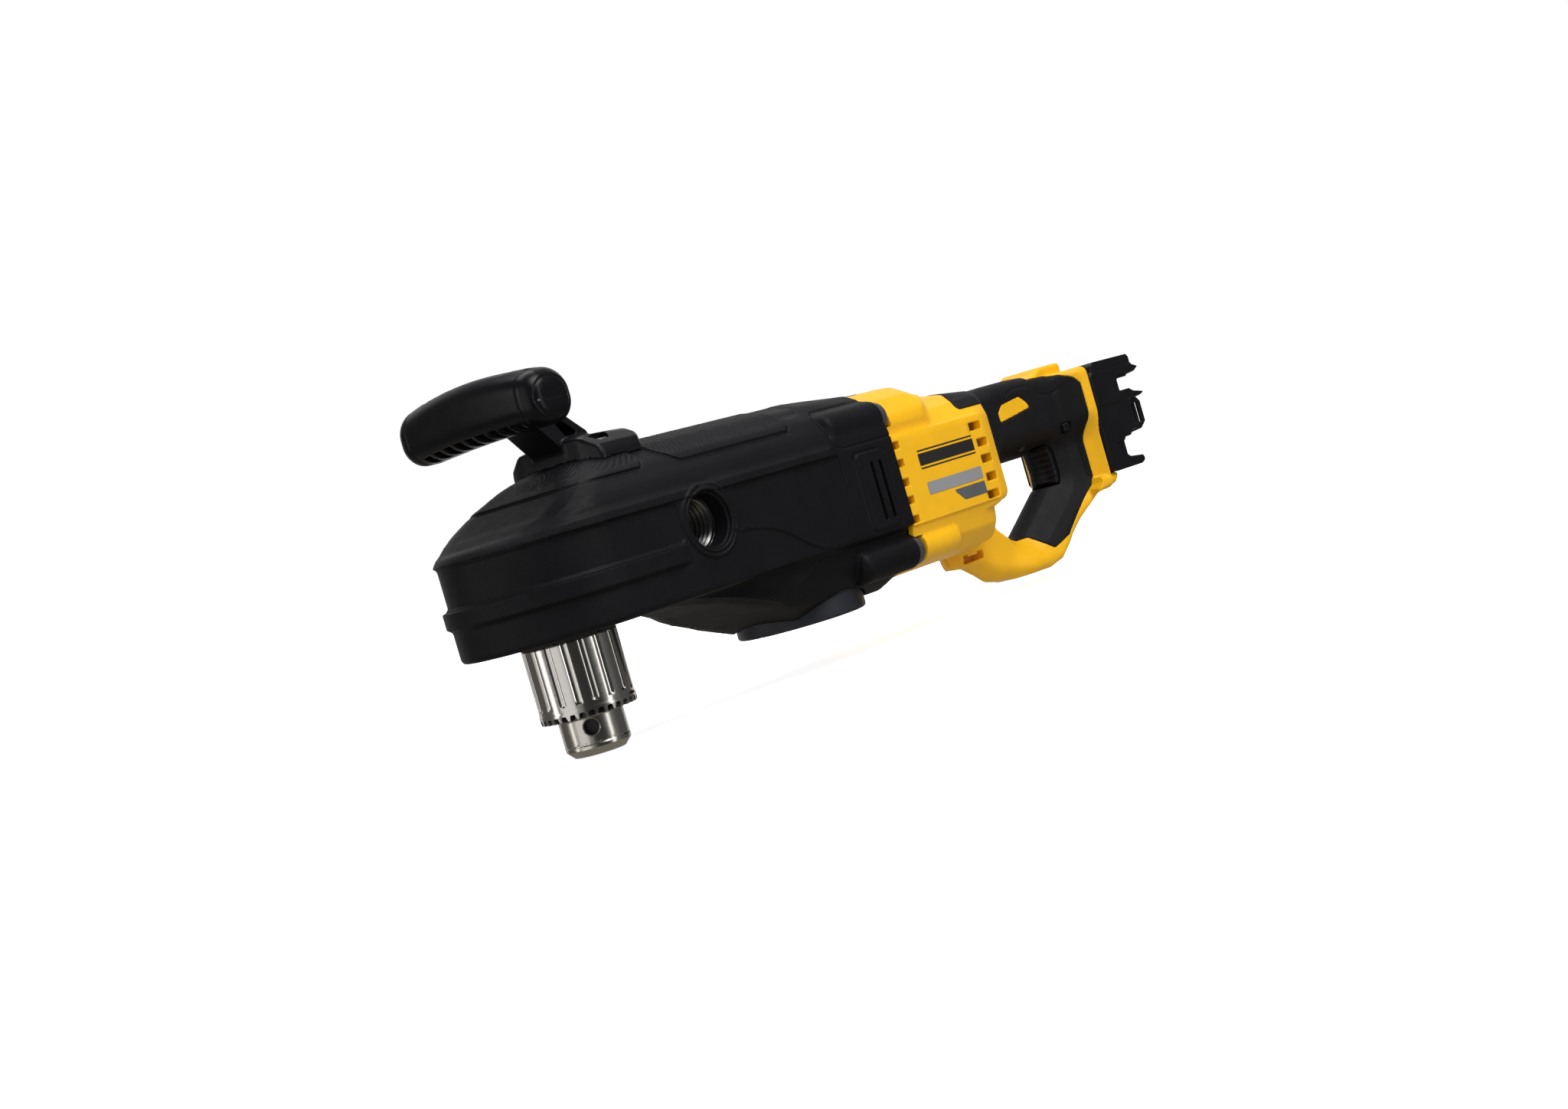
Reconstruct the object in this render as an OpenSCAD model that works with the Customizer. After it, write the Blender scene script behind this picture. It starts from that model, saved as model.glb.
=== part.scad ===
// Right-angle stud-and-joist drill: a long flat gear head with a keyed chuck under its nose,
// a bail handle over it, a motor housing behind it and a closed rear handle with a pack receiver.
// X runs from the chuck to the rear, Z up along the chuck, Y across; the origin is the centre of
// the chuck's mouth in its nose face. Millimetres.

/* [Chuck] */
// Radius of the hole a drill shank goes into
bit_r = 6.75; // [6.4:0.05:6.9]
// Radius of the chuck's nose
nose_r = 15.15; // [14.8:0.05:15.6]
// Outer radius of the fluted sleeve
sleeve_r = 22.1; // [21.6:0.1:23]
// Number of key teeth round the sleeve's lower edge
key_teeth = 32; // [24:1:36]
// Number of flutes round the sleeve
flutes = 18; // [12:1:24]

/* [Head] */
// Half width of the gear head, and radius of its round front
head_w = 48; // [47.5:0.1:49]
// Height of the underside of the head's front
head_z0 = 54; // [54:0.1:54.2]
// Length of the head from the chuck axis to the motor housing
head_x1 = 200; // [200:0.1:200.2]
// Wall of the boot over the gear case
boot_t = 3.5; // [3:0.1:3.6]
// Wall of the gear case
case_t = 4; // [3.5:0.1:4.2]
// Inner radius of the side handle sockets
socket_r = 10.8; // [10:0.1:11.5]
// Distance of the side handle sockets behind the chuck axis
socket_x = 59; // [58:0.5:61]
// Radius of the speed selector disc
knob_r = 33; // [31:0.5:33]

/* [Bail handle] */
// Length of the bail handle's grip across the tool
bail_len = 96; // [92:1:108]
// Depth of the grip, front to back
bail_d = 30; // [28:0.5:31]
// Height of the grip
bail_h = 27; // [24:0.5:28]

/* [Motor and gears] */
// Height of the motor axis
motor_z = 76; // [76:0.1:76.4]
// Outer radius of the stator
stator_r = 31; // [28:0.5:33]
// Radius of the rotor over its magnets
rotor_r = 15; // [13:0.5:15.4]

/* [Rear handle] */
// Half width of the neck and grip
grip_w = 18; // [17:0.5:18.5]
// Thickness of the soft grip layer
soft_t = 2.5; // [2:0.1:2.8]
// Travel of the trigger
trigger_travel = 7; // [4:0.5:7]
// Half width of the pack receiver
rec_w = 32; // [31:0.5:33]

/* [Hidden] */
$fn = 64;
eps = 0.05;

// Gear train: motor pinion, countershaft, layshaft, face gear on the spindle
m1 = 0.9;
m2 = 1.25;
m3 = 1.65;
pin_t = 11;
ctr_t = 33;
lay_t = 38;
face_t = 40;
ctr_z = motor_z - m1 * (pin_t + ctr_t) / 2;
lay_z = ctr_z + m2 * (pin_t + lay_t) / 2;
face_z = lay_z - m3 * pin_t / 2;

// Jaws: three inclined rods whose axes meet at the centre of the nose face
jaw_r = 4.7;
jaw_bore_r = 4.78;
jaw_tilt = 15;
jaw_azimuths = [284, 44, 164];
grip_face = bit_r + 0.1;
close_in = 6.2;

knob_x = 152;
bolt_x = 31;
bolt_y = 20;
boss_y = 38;
boss_top_z = 111;
boss_low_z = 42;
bar_x = -11.5;
bar_z = 158.5;
pod_x = 406;
col_black = [0.13, 0.13, 0.15];
col_yellow = [0.95, 0.75, 0.1];
col_steel = [0.72, 0.72, 0.74];

// ---------- outlines ----------

function unit(v) = v / norm(v);
// A corner of a counter-clockwise outline after both of its edges move inwards by t
function inset_corner(a, b, c, t) =
    let (n1 = unit([a[1] - b[1], b[0] - a[0]]), n2 = unit([b[1] - c[1], c[0] - b[0]]))
    b + t * (n1 + n2) / (1 + n1 * n2);
function inset(p, t) = let (n = len(p))
    [for (i = [0:n - 1]) inset_corner(p[(i + n - 1) % n], p[i], p[(i + 1) % n], t)];
// A symmetric outline from its right-hand half, listed upwards from the bottom centre line
function mirrored(half) = concat(half, [for (i = [len(half) - 1:-1:0]) [-half[i][0], half[i][1]]]);

// Half sections across the tool, as [half width, height]
block_half = [[head_w - 2, head_z0], [head_w, head_z0 + 3], [head_w, 103], [45, 111],
    [39.5, 118.5], [28, 127], [14, 132]];
belly_half = [[22, 25.5], [33, 33], [42, 44], [46, 56], [46, 75]];
motor_half = [[24, 31], [34, 34], [42, 42], [46, 52], [46, 98.5], [37, 108.5], [29, 114], [14, 118]];
// The collar of the motor housing, behind the gear head
collar_half = [[24, 60], [46, 66], [46, 102], [44.5, 110], [37, 119.5], [26, 125.6], [12, 127]];

// Side outlines, as [x, z]
block_side = [[-60, head_z0], [head_x1, head_z0], [head_x1, 127.6], [188, 129.6], [165, 132],
    [60, 133.6], [28, 132.5], [8, 125], [-12, 114], [-34, 102.4], [-60, 101.5]];
belly_side = [[52, 54], [80, 46], [106, 35.5], [124, 25.6], [190, 25.6], [head_x1, 31],
    [head_x1, 75], [52, 75]];
motor_side = [[200.4, 31.5], [284, 31.5], [294, 37], [298, 46], [299, 58], [303, 76], [309, 95],
    [309, 108], [296, 113], [270, 117.4], [200.4, 118]];
collar_side = [[200.4, 60], [268, 60], [268, 116.2], [262, 118], [248, 125.6], [242, 126.8], [200.4, 126.8]];

// Plan outlines, as [x, y]
belly_plan = [[46, -8], [62, -24], [90, -36], [120, -43], [150, -46], [head_x1, -46],
    [head_x1, 46], [150, 46], [120, 43], [90, 36], [62, 24], [46, 8]];
motor_plan = [[200.4, -46], [276, -46], [287, -42], [294, -34], [300, -25], [309, -17.5],
    [309, 17.5], [300, 25], [294, 34], [287, 42], [276, 46], [200.4, 46]];

// ---------- helpers ----------

module along_x(x0, x1) translate([x0, 0, 0]) rotate([90, 0, 90]) linear_extrude(x1 - x0) children();
module along_y(y0, y1) translate([0, y1, 0]) rotate([90, 0, 0]) linear_extrude(y1 - y0) children();
module rod_x(x0, x1, y, z, r) translate([x0, y, z]) rotate([0, 90, 0]) cylinder(r = r, h = x1 - x0);
module rod_y(x, y0, y1, z, r) translate([x, y0, z]) rotate([-90, 0, 0]) cylinder(r = r, h = y1 - y0);
module rod_z(x, y, z0, z1, r) translate([x, y, z0]) cylinder(r = r, h = z1 - z0);
module box(x0, x1, y0, y1, z0, z1) translate([x0, y0, z0]) cube([x1 - x0, y1 - y0, z1 - z0]);
module round_rect(w, h, r) {
    square([w - 2 * r, h], center = true);
    square([w, h - 2 * r], center = true);
    for (i = [-1, 1], j = [-1, 1]) translate([i * (w / 2 - r), j * (h / 2 - r)]) circle(r = r);
}
module keep_side(s) intersection() {
    children();
    if (s < 0) box(190, 420, -60, 0, 0, 130);
    else box(190, 420, 0, 60, 0, 130);
}

// ---------- head ----------

module head_plan(w, x1) {
    circle(r = w);
    translate([0, -w]) square([x1, 2 * w]);
}

// The head's outer shape, moved inwards by t
module head_shape(t) {
    intersection() {
        along_y(-60, 60) polygon(inset(block_side, t));
        along_x(-60, 210) polygon(inset(mirrored(block_half), t));
        linear_extrude(150) head_plan(head_w - t, head_x1 - t);
    }
    intersection() {
        along_y(-60, 60) polygon(inset(belly_side, t));
        along_x(0, 210) polygon(inset(mirrored(belly_half), t));
        linear_extrude(100) polygon(inset(belly_plan, t));
    }
}

module corner_bosses(r, x0, x1) {
    for (s = [-1, 1]) {
        rod_x(x0, x1, s * boss_y, boss_top_z, r + 0.5);
        rod_x(x0, x1, s * boss_y, boss_low_z, r);
    }
}

module knob_pocket() rod_z(knob_x, 0, 10, 36.4, knob_r + 0.6);

module socket_holes(r) {
    for (s = [-1, 1]) scale([1, s, 1]) rod_y(socket_x, 24, 60, 86, r);
}

module bail_bolt_holes(r, z0) {
    for (s = [-1, 1]) rod_z(bolt_x, s * bolt_y, z0, 145, r);
}

module head_boot() color(col_black) difference() {
    union() {
        head_shape(0);
        // bumper ridges round the front and along the sides
        intersection() {
            translate([0, 0, 69.5]) linear_extrude(8) head_plan(head_w + 2.3, 42);
            along_x(-60, 60) polygon(inset([[-52, 68], [52, 68], [52, 79], [-52, 79]], 0));
        }
        translate([0, 0, 98.5]) linear_extrude(4) head_plan(head_w + 1.4, 155);
        // raised rim round each side handle socket, and round the vents
        for (s = [-1, 1]) scale([1, s, 1]) {
            rod_y(socket_x, 40, head_w + 0.9, 86, 18);
            box(168, 190, 40, head_w + 0.7, 58, 94);
        }
        corner_bosses(8.6, 158, head_x1);
    }
    head_shape(boot_t);
    // open at the back, where the motor housing meets the gear case
    intersection() {
        box(head_x1 - 6, head_x1 + 5, -60, 60, 20, 140);
        along_x(150, 220) polygon(inset(mirrored(block_half), boot_t));
        box(150, 220, -41, 41, 60, 140);
    }
    rod_z(0, 0, 40, 60, 27);
    socket_holes(13.5);
    knob_pocket();
    bail_bolt_holes(4.2, 100);
    bail_bolt_holes(6.2, 131.2);
    for (s = [-1, 1], x = [178, 185]) scale([1, s, 1]) box(x, x + 1.8, 43, 52, 61, 90.5);
    for (s = [-1, 1], z = [boss_low_z, boss_top_z]) rod_x(150, 210, s * boss_y, z, 2.6);
}

module bearing_web(x0, x1) intersection() {
    box(x0, x1, -50, 50, 20, 140);
    head_shape(boot_t);
}

module gear_case() color([0.6, 0.6, 0.62]) difference() {
    union() {
        difference() {
            head_shape(boot_t);
            head_shape(boot_t + case_t);
        }
        intersection() {
            head_shape(boot_t);
            union() {
                for (s = [-1, 1]) scale([1, s, 1]) {
                    rod_y(socket_x, 21, 46, 86, 17);
                    rod_z(bolt_x, bolt_y, 112, 135, 7.5);
                    rod_x(150, 197, boss_y, boss_top_z, 6);
                    rod_x(150, 197, boss_y, boss_low_z, 6);
                }
                rod_z(0, 0, 55, 66, 21.5);
                rod_z(0, 0, 97, 120, 15);
                rod_z(knob_x, 0, 30, 39.8, knob_r + 4);
            }
        }
        intersection() {
            bearing_web(47, 56);
            box(40, 60, -60, 60, 66, 113);
        }
        bearing_web(120, 128);
        bearing_web(164.8, 171);
        bearing_web(183.2, 196.5);
    }
    // openings in the webs keep them light and let grease round
    rod_z(0, 0, 50, 70, 17);
    rod_z(0, 0, 90, 105.2, 11);
    for (s = [-1, 1]) box(118, 130, s * 27 - 9, s * 27 + 9, 66, 110);
    for (s = [-1, 1]) box(163, 172, s * 29 - 7, s * 29 + 7, 66, 104);
    rod_x(46, 53.5, 0, lay_z, 11);
    rod_x(46, 60, 0, lay_z, 6.5);
    rod_x(119, 129, 0, lay_z, 6.5);
    rod_x(164, 172, 0, lay_z, 9.5);
    rod_x(119, 129, 0, ctr_z, 8);
    rod_x(164, 172, 0, ctr_z, 4.8);
    rod_x(183, 189, 0, ctr_z, 8);
    rod_x(183, 197, 0, motor_z, 4.8);
    rod_x(190, 197, 0, motor_z, 11);
    socket_holes(13.4);
    knob_pocket();
    rod_z(knob_x, 0, 35, 41, 8.06);
    bail_bolt_holes(3, 112);
    for (s = [-1, 1], z = [boss_low_z, boss_top_z]) rod_x(168, 210, s * boss_y, z, 2.5);
}

module nose_plate() color(col_steel) difference() {
    rod_z(0, 0, 54.4, 57.4, 26.6);
    rod_z(0, 0, 50, 60, 10.6);
    for (a = [30:60:330]) rotate(a) rod_z(22.5, 0, 50, 56, 2);
}

module side_socket(s) color(col_steel) scale([1, s, 1]) difference() {
    rod_y(socket_x, 24, 46.2, 86, 13.4);
    rod_y(socket_x, 23, 47, 86, socket_r);
    rod_y(socket_x, 45.4, 47, 86, 12.2);
}
module side_socket_left() side_socket(-1);
module side_socket_right() side_socket(1);

module ring_bearing(r0, r1, w) {
    mid = (r0 + r1) / 2;
    difference() {
        union() {
            difference() { cylinder(r = r1, h = w); translate([0, 0, -1]) cylinder(r = mid + (r1 - r0) * 0.2, h = w + 2); }
            difference() { cylinder(r = mid - (r1 - r0) * 0.2, h = w); translate([0, 0, -1]) cylinder(r = r0, h = w + 2); }
            translate([0, 0, w * 0.3]) difference() {
                cylinder(r = r1 - 0.5, h = w * 0.4);
                translate([0, 0, -1]) cylinder(r = r0 + 0.5, h = w + 2);
            }
        }
    }
}
module bearing_x(x, y, z, r0, r1, w) translate([x, y, z]) rotate([0, 90, 0]) ring_bearing(r0, r1, w);

module spindle_lower_bearing() color(col_steel) translate([0, 0, 57.6]) ring_bearing(10, 17, 8.2);
module spindle_upper_bearing() color(col_steel) translate([0, 0, 98]) ring_bearing(6.05, 11, 7);
module layshaft_bearings() color(col_steel) {
    bearing_x(47, 0, lay_z, 5.05, 11, 6.4);
    bearing_x(165, 0, lay_z, 5.05, 9.5, 5.5);
}
module counter_bearings() color(col_steel) {
    bearing_x(121, 0, ctr_z, 4.05, 8, 6);
    bearing_x(183.4, 0, ctr_z, 4.05, 8, 5);
}
module motor_front_bearing() color(col_steel) bearing_x(190, 0, motor_z, 4.05, 11, 6.4);
module motor_rear_bearing() color(col_steel) bearing_x(276, 0, motor_z, 4.05, 9, 7);

// ---------- gears ----------

function involute(a) = tan(a) * 180 / PI - a;
function flank(n, m, r, slack) = let (rb = n * m * cos(20) / 2, a = r > rb ? acos(rb / r) : 0)
    90 / n - slack * 90 / PI / (n * m / 2) + involute(20) - involute(a);
module gear_outline(n, m, start) {
    rp = n * m / 2;
    tip = rp + 0.9 * m;
    root = rp - 1.2 * m;
    radii = [root, max(root + 0.02, n * m * cos(20) / 2), rp, tip];
    polygon([for (i = [0:n - 1]) each concat(
        [for (r = radii) let (a = start + 360 * i / n - flank(n, m, r, 0.3 * m)) r * [cos(a), sin(a)]],
        [for (k = [3:-1:0]) let (r = radii[k], a = start + 360 * i / n + flank(n, m, r, 0.3 * m))
            r * [cos(a), sin(a)]])]);
}
module gear_x(x0, x1, z, n, m, start) translate([0, 0, z]) along_x(x0, x1) gear_outline(n, m, start);

module rotor_shaft() color(col_steel) {
    rod_x(182, 284, 0, motor_z, 4);
    gear_x(172, 182, motor_z, pin_t, m1, -90);
}
module counter_shaft() color(col_steel) {
    rod_x(119, 188.6, 0, ctr_z, 4);
    gear_x(150, 163, ctr_z, pin_t, m2, 90);
    gear_x(173, 181.5, ctr_z, ctr_t, m1, 90 + 180 / ctr_t);
}
module layshaft() color(col_steel) {
    rod_x(38, 170.8, 0, lay_z, 5);
    gear_x(27.5, 38, lay_z, pin_t, m3, -90);
    rod_x(38, 45, 0, lay_z, 8);
    difference() {
        gear_x(152, 162, lay_z, lay_t, m2, -90 + 180 / lay_t);
        for (a = [0:60:300]) translate([150, 0, lay_z]) rotate([a, 0, 0]) rod_x(0, 14, 14.5, 0, 4);
    }
}

module face_gear() color([0.5, 0.5, 0.52]) difference() {
    union() {
        rod_z(0, 0, face_z - 8.5, face_z - 2, 38.6);
        rod_z(0, 0, 67, face_z + 2, 14);
        for (i = [0:face_t - 1]) rotate((i + 0.5) * 360 / face_t) along_x(28, 38.2)
            polygon([[-1.5, face_z - 2.5], [1.5, face_z - 2.5], [1.4, face_z - 2], [0.5, face_z + 1.05],
                [-0.5, face_z + 1.05], [-1.4, face_z - 2]]);
    }
    rod_z(0, 0, 60, 95, 9.95);
    difference() {
        rod_z(0, 0, face_z - 5, face_z + 3, 26.5);
        rod_z(0, 0, face_z - 6, face_z + 4, 14);
    }
    for (a = [0:60:300]) rotate(a) rod_z(20.5, 0, 60, 80, 4.5);
}

module spindle() color(col_steel) difference() {
    union() {
        rod_z(0, 0, 44.2, 54, 6.35);
        rod_z(0, 0, 53.9, 90, 9.95);
        rod_z(0, 0, 90, 105, 6);
    }
    rod_z(0, 0, 40, 54, 2.5);
}

// ---------- chuck ----------

module in_jaw_frame(a) rotate(a) rotate([0, jaw_tilt, 0]) children();

module chuck_body() color(col_steel) difference() {
    rotate_extrude() polygon([[0, 0], [12.2, 0], [nose_r, 3.4], [nose_r, 17.2], [17.4, 17.8],
        [17.4, 29.9], [13.7, 29.9], [13.7, 38.1], [19.4, 38.1], [19.4, 52.9], [18.6, 53.7], [0, 53.7]]);
    rod_z(0, 0, -1, 41.7, bit_r);
    rod_z(0, 0, 6.5, 41.7, bit_r + 0.25);
    rod_z(0, 0, 41.7, 54, 9);
    for (a = jaw_azimuths) {
        in_jaw_frame(a) rod_z(0, 0, 2, 52.5, jaw_bore_r);
        rotate(a + 60) translate([9.5, 0, 12.8]) rotate([0, 90, 0]) cylinder(r = 3.6, h = 10);
        rotate(a + 60) translate([nose_r - 0.6, 0, 12.8]) rotate([0, 90, 0]) cylinder(r = 4.2, h = 2);
    }
}

// Threaded hub at the back of the chuck body, screwed onto the spindle
module chuck_hub() color(col_steel) difference() {
    rod_z(0, 0, 41.7, 53.7, 9);
    rod_z(0, 0, 40, 46, 2.6);
    rod_z(0, 0, 44.2, 60, 6.35);
    for (a = jaw_azimuths) in_jaw_frame(a) rod_z(0, 0, 2, 52.5, jaw_bore_r);
}

module chuck_screw() color([0.25, 0.25, 0.27]) difference() {
    union() {
        rod_z(0, 0, 38.3, 41.7, 4.5);
        rod_z(0, 0, 41.7, 53, 2.5);
    }
    translate([-0.6, -5, 38.2]) cube([1.2, 10, 1.4]);
    translate([-5, -0.6, 38.2]) cube([10, 1.2, 1.4]);
}

module chuck_sleeve() color(col_steel) difference() {
    rotate_extrude() polygon([[17.8, 17.9], [sleeve_r + 0.3, 17.9], [sleeve_r + 0.5, 21.9],
        [sleeve_r, 23.2], [sleeve_r, 52.7], [sleeve_r - 0.8, 53.5], [19.8, 53.5], [19.8, 37.8],
        [20.2, 37.8], [20.2, 30.2], [17.8, 30.2]]);
    for (i = [0:key_teeth - 1]) rotate(i * 360 / key_teeth) along_x(16, 26)
        polygon([[-1.35, 17], [1.35, 17], [0.55, 21.4], [-0.55, 21.4]]);
    for (i = [0:flutes - 1]) rotate((i + 0.5) * 360 / flutes) rod_z(sleeve_r + 1.1, 0, 25, 60, 1.7);
}

module chuck_nut() color([0.4, 0.38, 0.3]) difference() {
    rod_z(0, 0, 30.4, 37.6, 20.2);
    rod_z(0, 0, 30, 38, 15.6);
}

module jaw(a) color([0.45, 0.45, 0.48]) rotate(a) intersection() {
    rotate([0, jaw_tilt, 0]) rod_z(0, 0, 8, 51.5, jaw_r);
    along_y(-8, 8) polygon([[grip_face, 14], [30, 14], [30, 50], [grip_face, 50]]);
    linear_extrude(60) polygon([[close_in + 0.6, -0.4], [close_in + 12, -20], [40, -20], [40, 20],
        [close_in + 12, 20], [close_in + 0.6, 0.4]]);
}
module jaw_a() jaw(jaw_azimuths[0]);
module jaw_b() jaw(jaw_azimuths[1]);
module jaw_c() jaw(jaw_azimuths[2]);

// ---------- speed selector ----------

module speed_knob() color([0.4, 0.41, 0.44]) {
    difference() {
        translate([knob_x, 0, 0]) rotate_extrude() polygon([[0, 23.6], [knob_r - 9, 22.8], [knob_r - 2, 22.8],
            [knob_r, 24.8], [knob_r, 36], [0, 36]]);
        // finger hollows either side of a centre bar
        for (s = [-1, 1]) intersection() {
            rod_z(knob_x, 0, 20, 30, knob_r - 6);
            box(knob_x - 40, knob_x + 40, s * 22 - 16, s * 22 + 16, 20, 30);
        }
    }
    rod_z(knob_x, 0, 36, 45.4, 8);
    translate([knob_x + 1.2, 0, 40.6]) cylinder(r = 9.7, h = 4.8);
}

// ---------- bail handle ----------

module bail_core() rod_y(bar_x, -bail_len / 2 + 9, bail_len / 2 - 9, bar_z, 8);

// Sloping arm from the foot up into the grip, in side view
bail_arm_side = [[37, 140.6], [37, 130], [21, 130], [19.5, 133], [8, 146], [-6, 156.5], [-8, 163], [3, 165], [23, 152.5]];

module bail_bracket() color([0.1, 0.1, 0.12]) difference() {
    union() {
        // foot plate that sits on the head
        difference() {
            intersection() {
                along_y(-32, 32) polygon([[19, 116], [52, 116], [52, 132.5], [49, 137.5], [23, 139.5], [19, 137.5]]);
                along_x(0, 60) polygon([[-31.5, 122], [-28, 118], [28, 118], [31.5, 122], [31.5, 127.5],
                    [29.3, 131.3], [20, 137.6], [12, 139.2], [-12, 139.2], [-20, 137.6], [-29.3, 131.3],
                    [-31.5, 127.5]]);
                linear_extrude(150) polygon([[19, -22], [22.5, -32], [47, -32], [52, -26], [52, 26], [47, 32],
                    [22.5, 32], [19, 22]]);
            }
            head_shape(0);
        }
        // sloping arm, an I in section
        difference() {
            along_y(-11, 11) polygon(bail_arm_side);
            head_shape(0);
        }
        bail_core();
    }
    for (s = [-1, 1]) {
        rod_z(bolt_x, s * bolt_y, 131.4, 150, 6.2);
        rod_z(bolt_x, s * bolt_y, 110, 150, 4.2);
        along_y(s * 8 - 4.5, s * 8 + 4.5) polygon([[23, 140.6], [33.5, 140.6], [21.3, 151], [15, 155], [13.6, 153.5],
            [16.3, 150.3]]);
    }
}

module bail_grip() color([0.12, 0.12, 0.14]) difference() {
    union() {
        translate([bar_x, 0, bar_z]) rotate([90, 0, 0])
            translate([0, 0, -bail_len / 2 + 6]) linear_extrude(bail_len - 12) round_rect(bail_d, bail_h, 11);
        translate([bar_x, 0, bar_z]) rotate([90, 0, 0])
            translate([0, 0, -bail_len / 2]) linear_extrude(bail_len) round_rect(bail_d - 7, bail_h - 7, 9);
        translate([bar_x, 0, bar_z]) rotate([90, 0, 0])
            translate([0, 0, -bail_len / 2 + 2]) linear_extrude(bail_len - 4) round_rect(bail_d - 2.6, bail_h - 2.6, 11);
    }
    bail_core();
    along_y(-11, 11) polygon(bail_arm_side);
    // finger grooves under the grip
    for (y = [-38:7:-20], s = [-1, 1]) rod_x(-40, 20, s * y, bar_z - bail_h / 2 - 1.4, 2.4);
}

module bail_bolts() color([0.3, 0.3, 0.32]) for (s = [-1, 1]) difference() {
    union() {
        rod_z(bolt_x, s * bolt_y, 131.4, 135, 5.8);
        rod_z(bolt_x, s * bolt_y, 113, 131.4, 3);
    }
    translate([bolt_x, s * bolt_y, 133]) cylinder(r = 3, h = 5, $fn = 6);
}

// ---------- motor housing and rear handle ----------

module motor_shape(t) {
    intersection() {
        along_y(-60, 60) polygon(inset(motor_side, t));
        along_x(190, 320) polygon(inset(mirrored(motor_half), t));
        linear_extrude(150) polygon(inset(motor_plan, t));
    }
    intersection() {
        along_y(-60, 60) polygon(inset(collar_side, t));
        along_x(190, 320) polygon(inset(mirrored(collar_half), t));
    }
}

// A rounded bar from a to b in the side plane, w wide across and h thick, shrunk by t
module bar(a, b, w, h, r, t) {
    d = b - a;
    translate([a[0], 0, a[1]]) rotate([0, 90 - atan2(d[1], d[0]), 0])
        linear_extrude(norm(d)) round_rect(h - 2 * t, w - 2 * t, r - t);
}

// The neck, pod, lower arm and slanted grip
module handle_shape(t) {
    intersection() {
        bar([296, 90.5], [404, 90.5], 2 * grip_w, 44, 13, t);
        along_y(-40, 40) polygon(inset([[290, 68.8], [410, 68.8], [410, 109], [395, 109], [375, 111.5],
            [358, 112.5], [342, 111], [329, 108.5], [316, 110.5], [290, 112.4]], t));
    }
    intersection() {
        linear_extrude(130) polygon(inset([[383.5, -12], [386, -grip_w + 2], [390, -grip_w], [396, -26], [400, -30],
            [pod_x, -rec_w], [pod_x, rec_w], [400, 30], [396, 26], [390, grip_w], [386, grip_w - 2], [383.5, 12]], t));
        along_x(370, 420) polygon(inset(mirrored([[24, 38], [30, 42], [rec_w, 48], [rec_w, 100], [28, 106.5], [18, 109]]), t));
        along_y(-50, 50) polygon(inset([[380, 46], [392, 36], [pod_x + 1, 38], [pod_x + 1, 109], [380, 109]], t));
    }
    bar([336, 11.5], [402, 52], 2 * grip_w - 1, 25, 10, t);
}

module lower_arm(t) {
    bar([303, 19.5], [350, 15.5], 22, 20 , 8, t);
    bar([335, 15], [366, 17], 30, 19, 8, t);
    bar([296, 42], [312, 16], 17, 21, 7, t);
}

module attachment_block() difference() {
    along_y(-6.5, 6.5) polygon([[274, 22.5], [300, 21.5], [308, 26], [308, 40], [270, 40], [270, 31]]);
    box(277, 296, -10, 10, 23.4, 27);
}

// Region covered by the soft grip, seen from the side
module soft_region() along_y(-60, 60) polygon([[316, 120], [316, 104], [313.5, 95], [309, 76], [306, 62],
    [316, 28], [340, 25.6], [346, 20], [351, 15.5], [366, 20], [399, 43], [402, 50], [402, 101], [397, 105.5],
    [388, 108.3], [370, 109], [364, 120]]);

// Yellow island that shows through the soft grip on each side of the neck
module island_outline() polygon([[332, 90.5], [332, 96], [337, 100], [354, 102], [358, 99.5], [363, 94.5]]);

module housing_outer() {
    motor_shape(0);
    handle_shape(0);
    lower_arm(0);
    attachment_block();
    // raised boss on the pod's top, and the chin below the receiver
    intersection() {
        along_y(-14, 14) polygon([[376, 104], [410, 104], [pod_x, 113.4], [382, 113.4]]);
        box(370, pod_x, -20, 20, 100, 120);
    }
    intersection() {
        along_y(-28, 28) polygon([[398, 38], [412, 40], [415, 45.4], [398, 45.4]]);
        box(390, 420, -28, 28, 30, 50);
    }
    // raised label panel on each side
    for (s = [-1, 1]) scale([1, s, 1]) along_y(45, 46.6)
        translate([239.5, 76.5]) round_rect(73, 46, 6);
}

module housing_cavities() {
    motor_shape(3);
    // open at the front for the fan's air, and along the neck for the leads
    rod_x(195, 205, 0, motor_z, 30);
    box(285, 399, -11, 11, 79, 99);
    box(397.8, pod_x + 10, -15, 15, 46, 103);
    // slots for the trigger and the direction button
    box(370, 400, -9.4, 9.4, 48.1, 71.9);
    box(385.6, 392.4, -40, 40, 75.1, 80.9);
    // cooling slots
    for (s = [-1, 1], i = [0:4]) scale([1, s, 1]) {
        box(265.6, 278, 36, 52, 54.8 + 9.15 * i, 58.4 + 9.15 * i);
        box(198, 204.5, 38, 52, 54.6 + 9.6 * i, 58.6 + 9.6 * i);
    }
    corner_bosses(8.2, 199, 208);
    for (s = [-1, 1]) {
        scale([1, s, 1]) box(199, 208, 34, 38, boss_low_z - 6, boss_low_z + 6);
    }
    for (z = [[290, 24.5], [356, 20.5], [352, 104.5], [304, 103]]) rod_y(z[0], -60, 60, z[1], 1.5);
}

module soft_layer() difference() {
    intersection() {
        handle_shape(0);
        soft_region();
    }
    handle_shape(soft_t);
    motor_shape(0);
    lower_arm(0);
    attachment_block();
    for (s = [-1, 1]) scale([1, s, 1]) along_y(grip_w - soft_t - 1, 30) island_outline();
    box(370, 400, -9.4, 9.4, 48.1, 71.9);
    box(385.6, 392.4, -40, 40, 75.1, 80.9);
}

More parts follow.
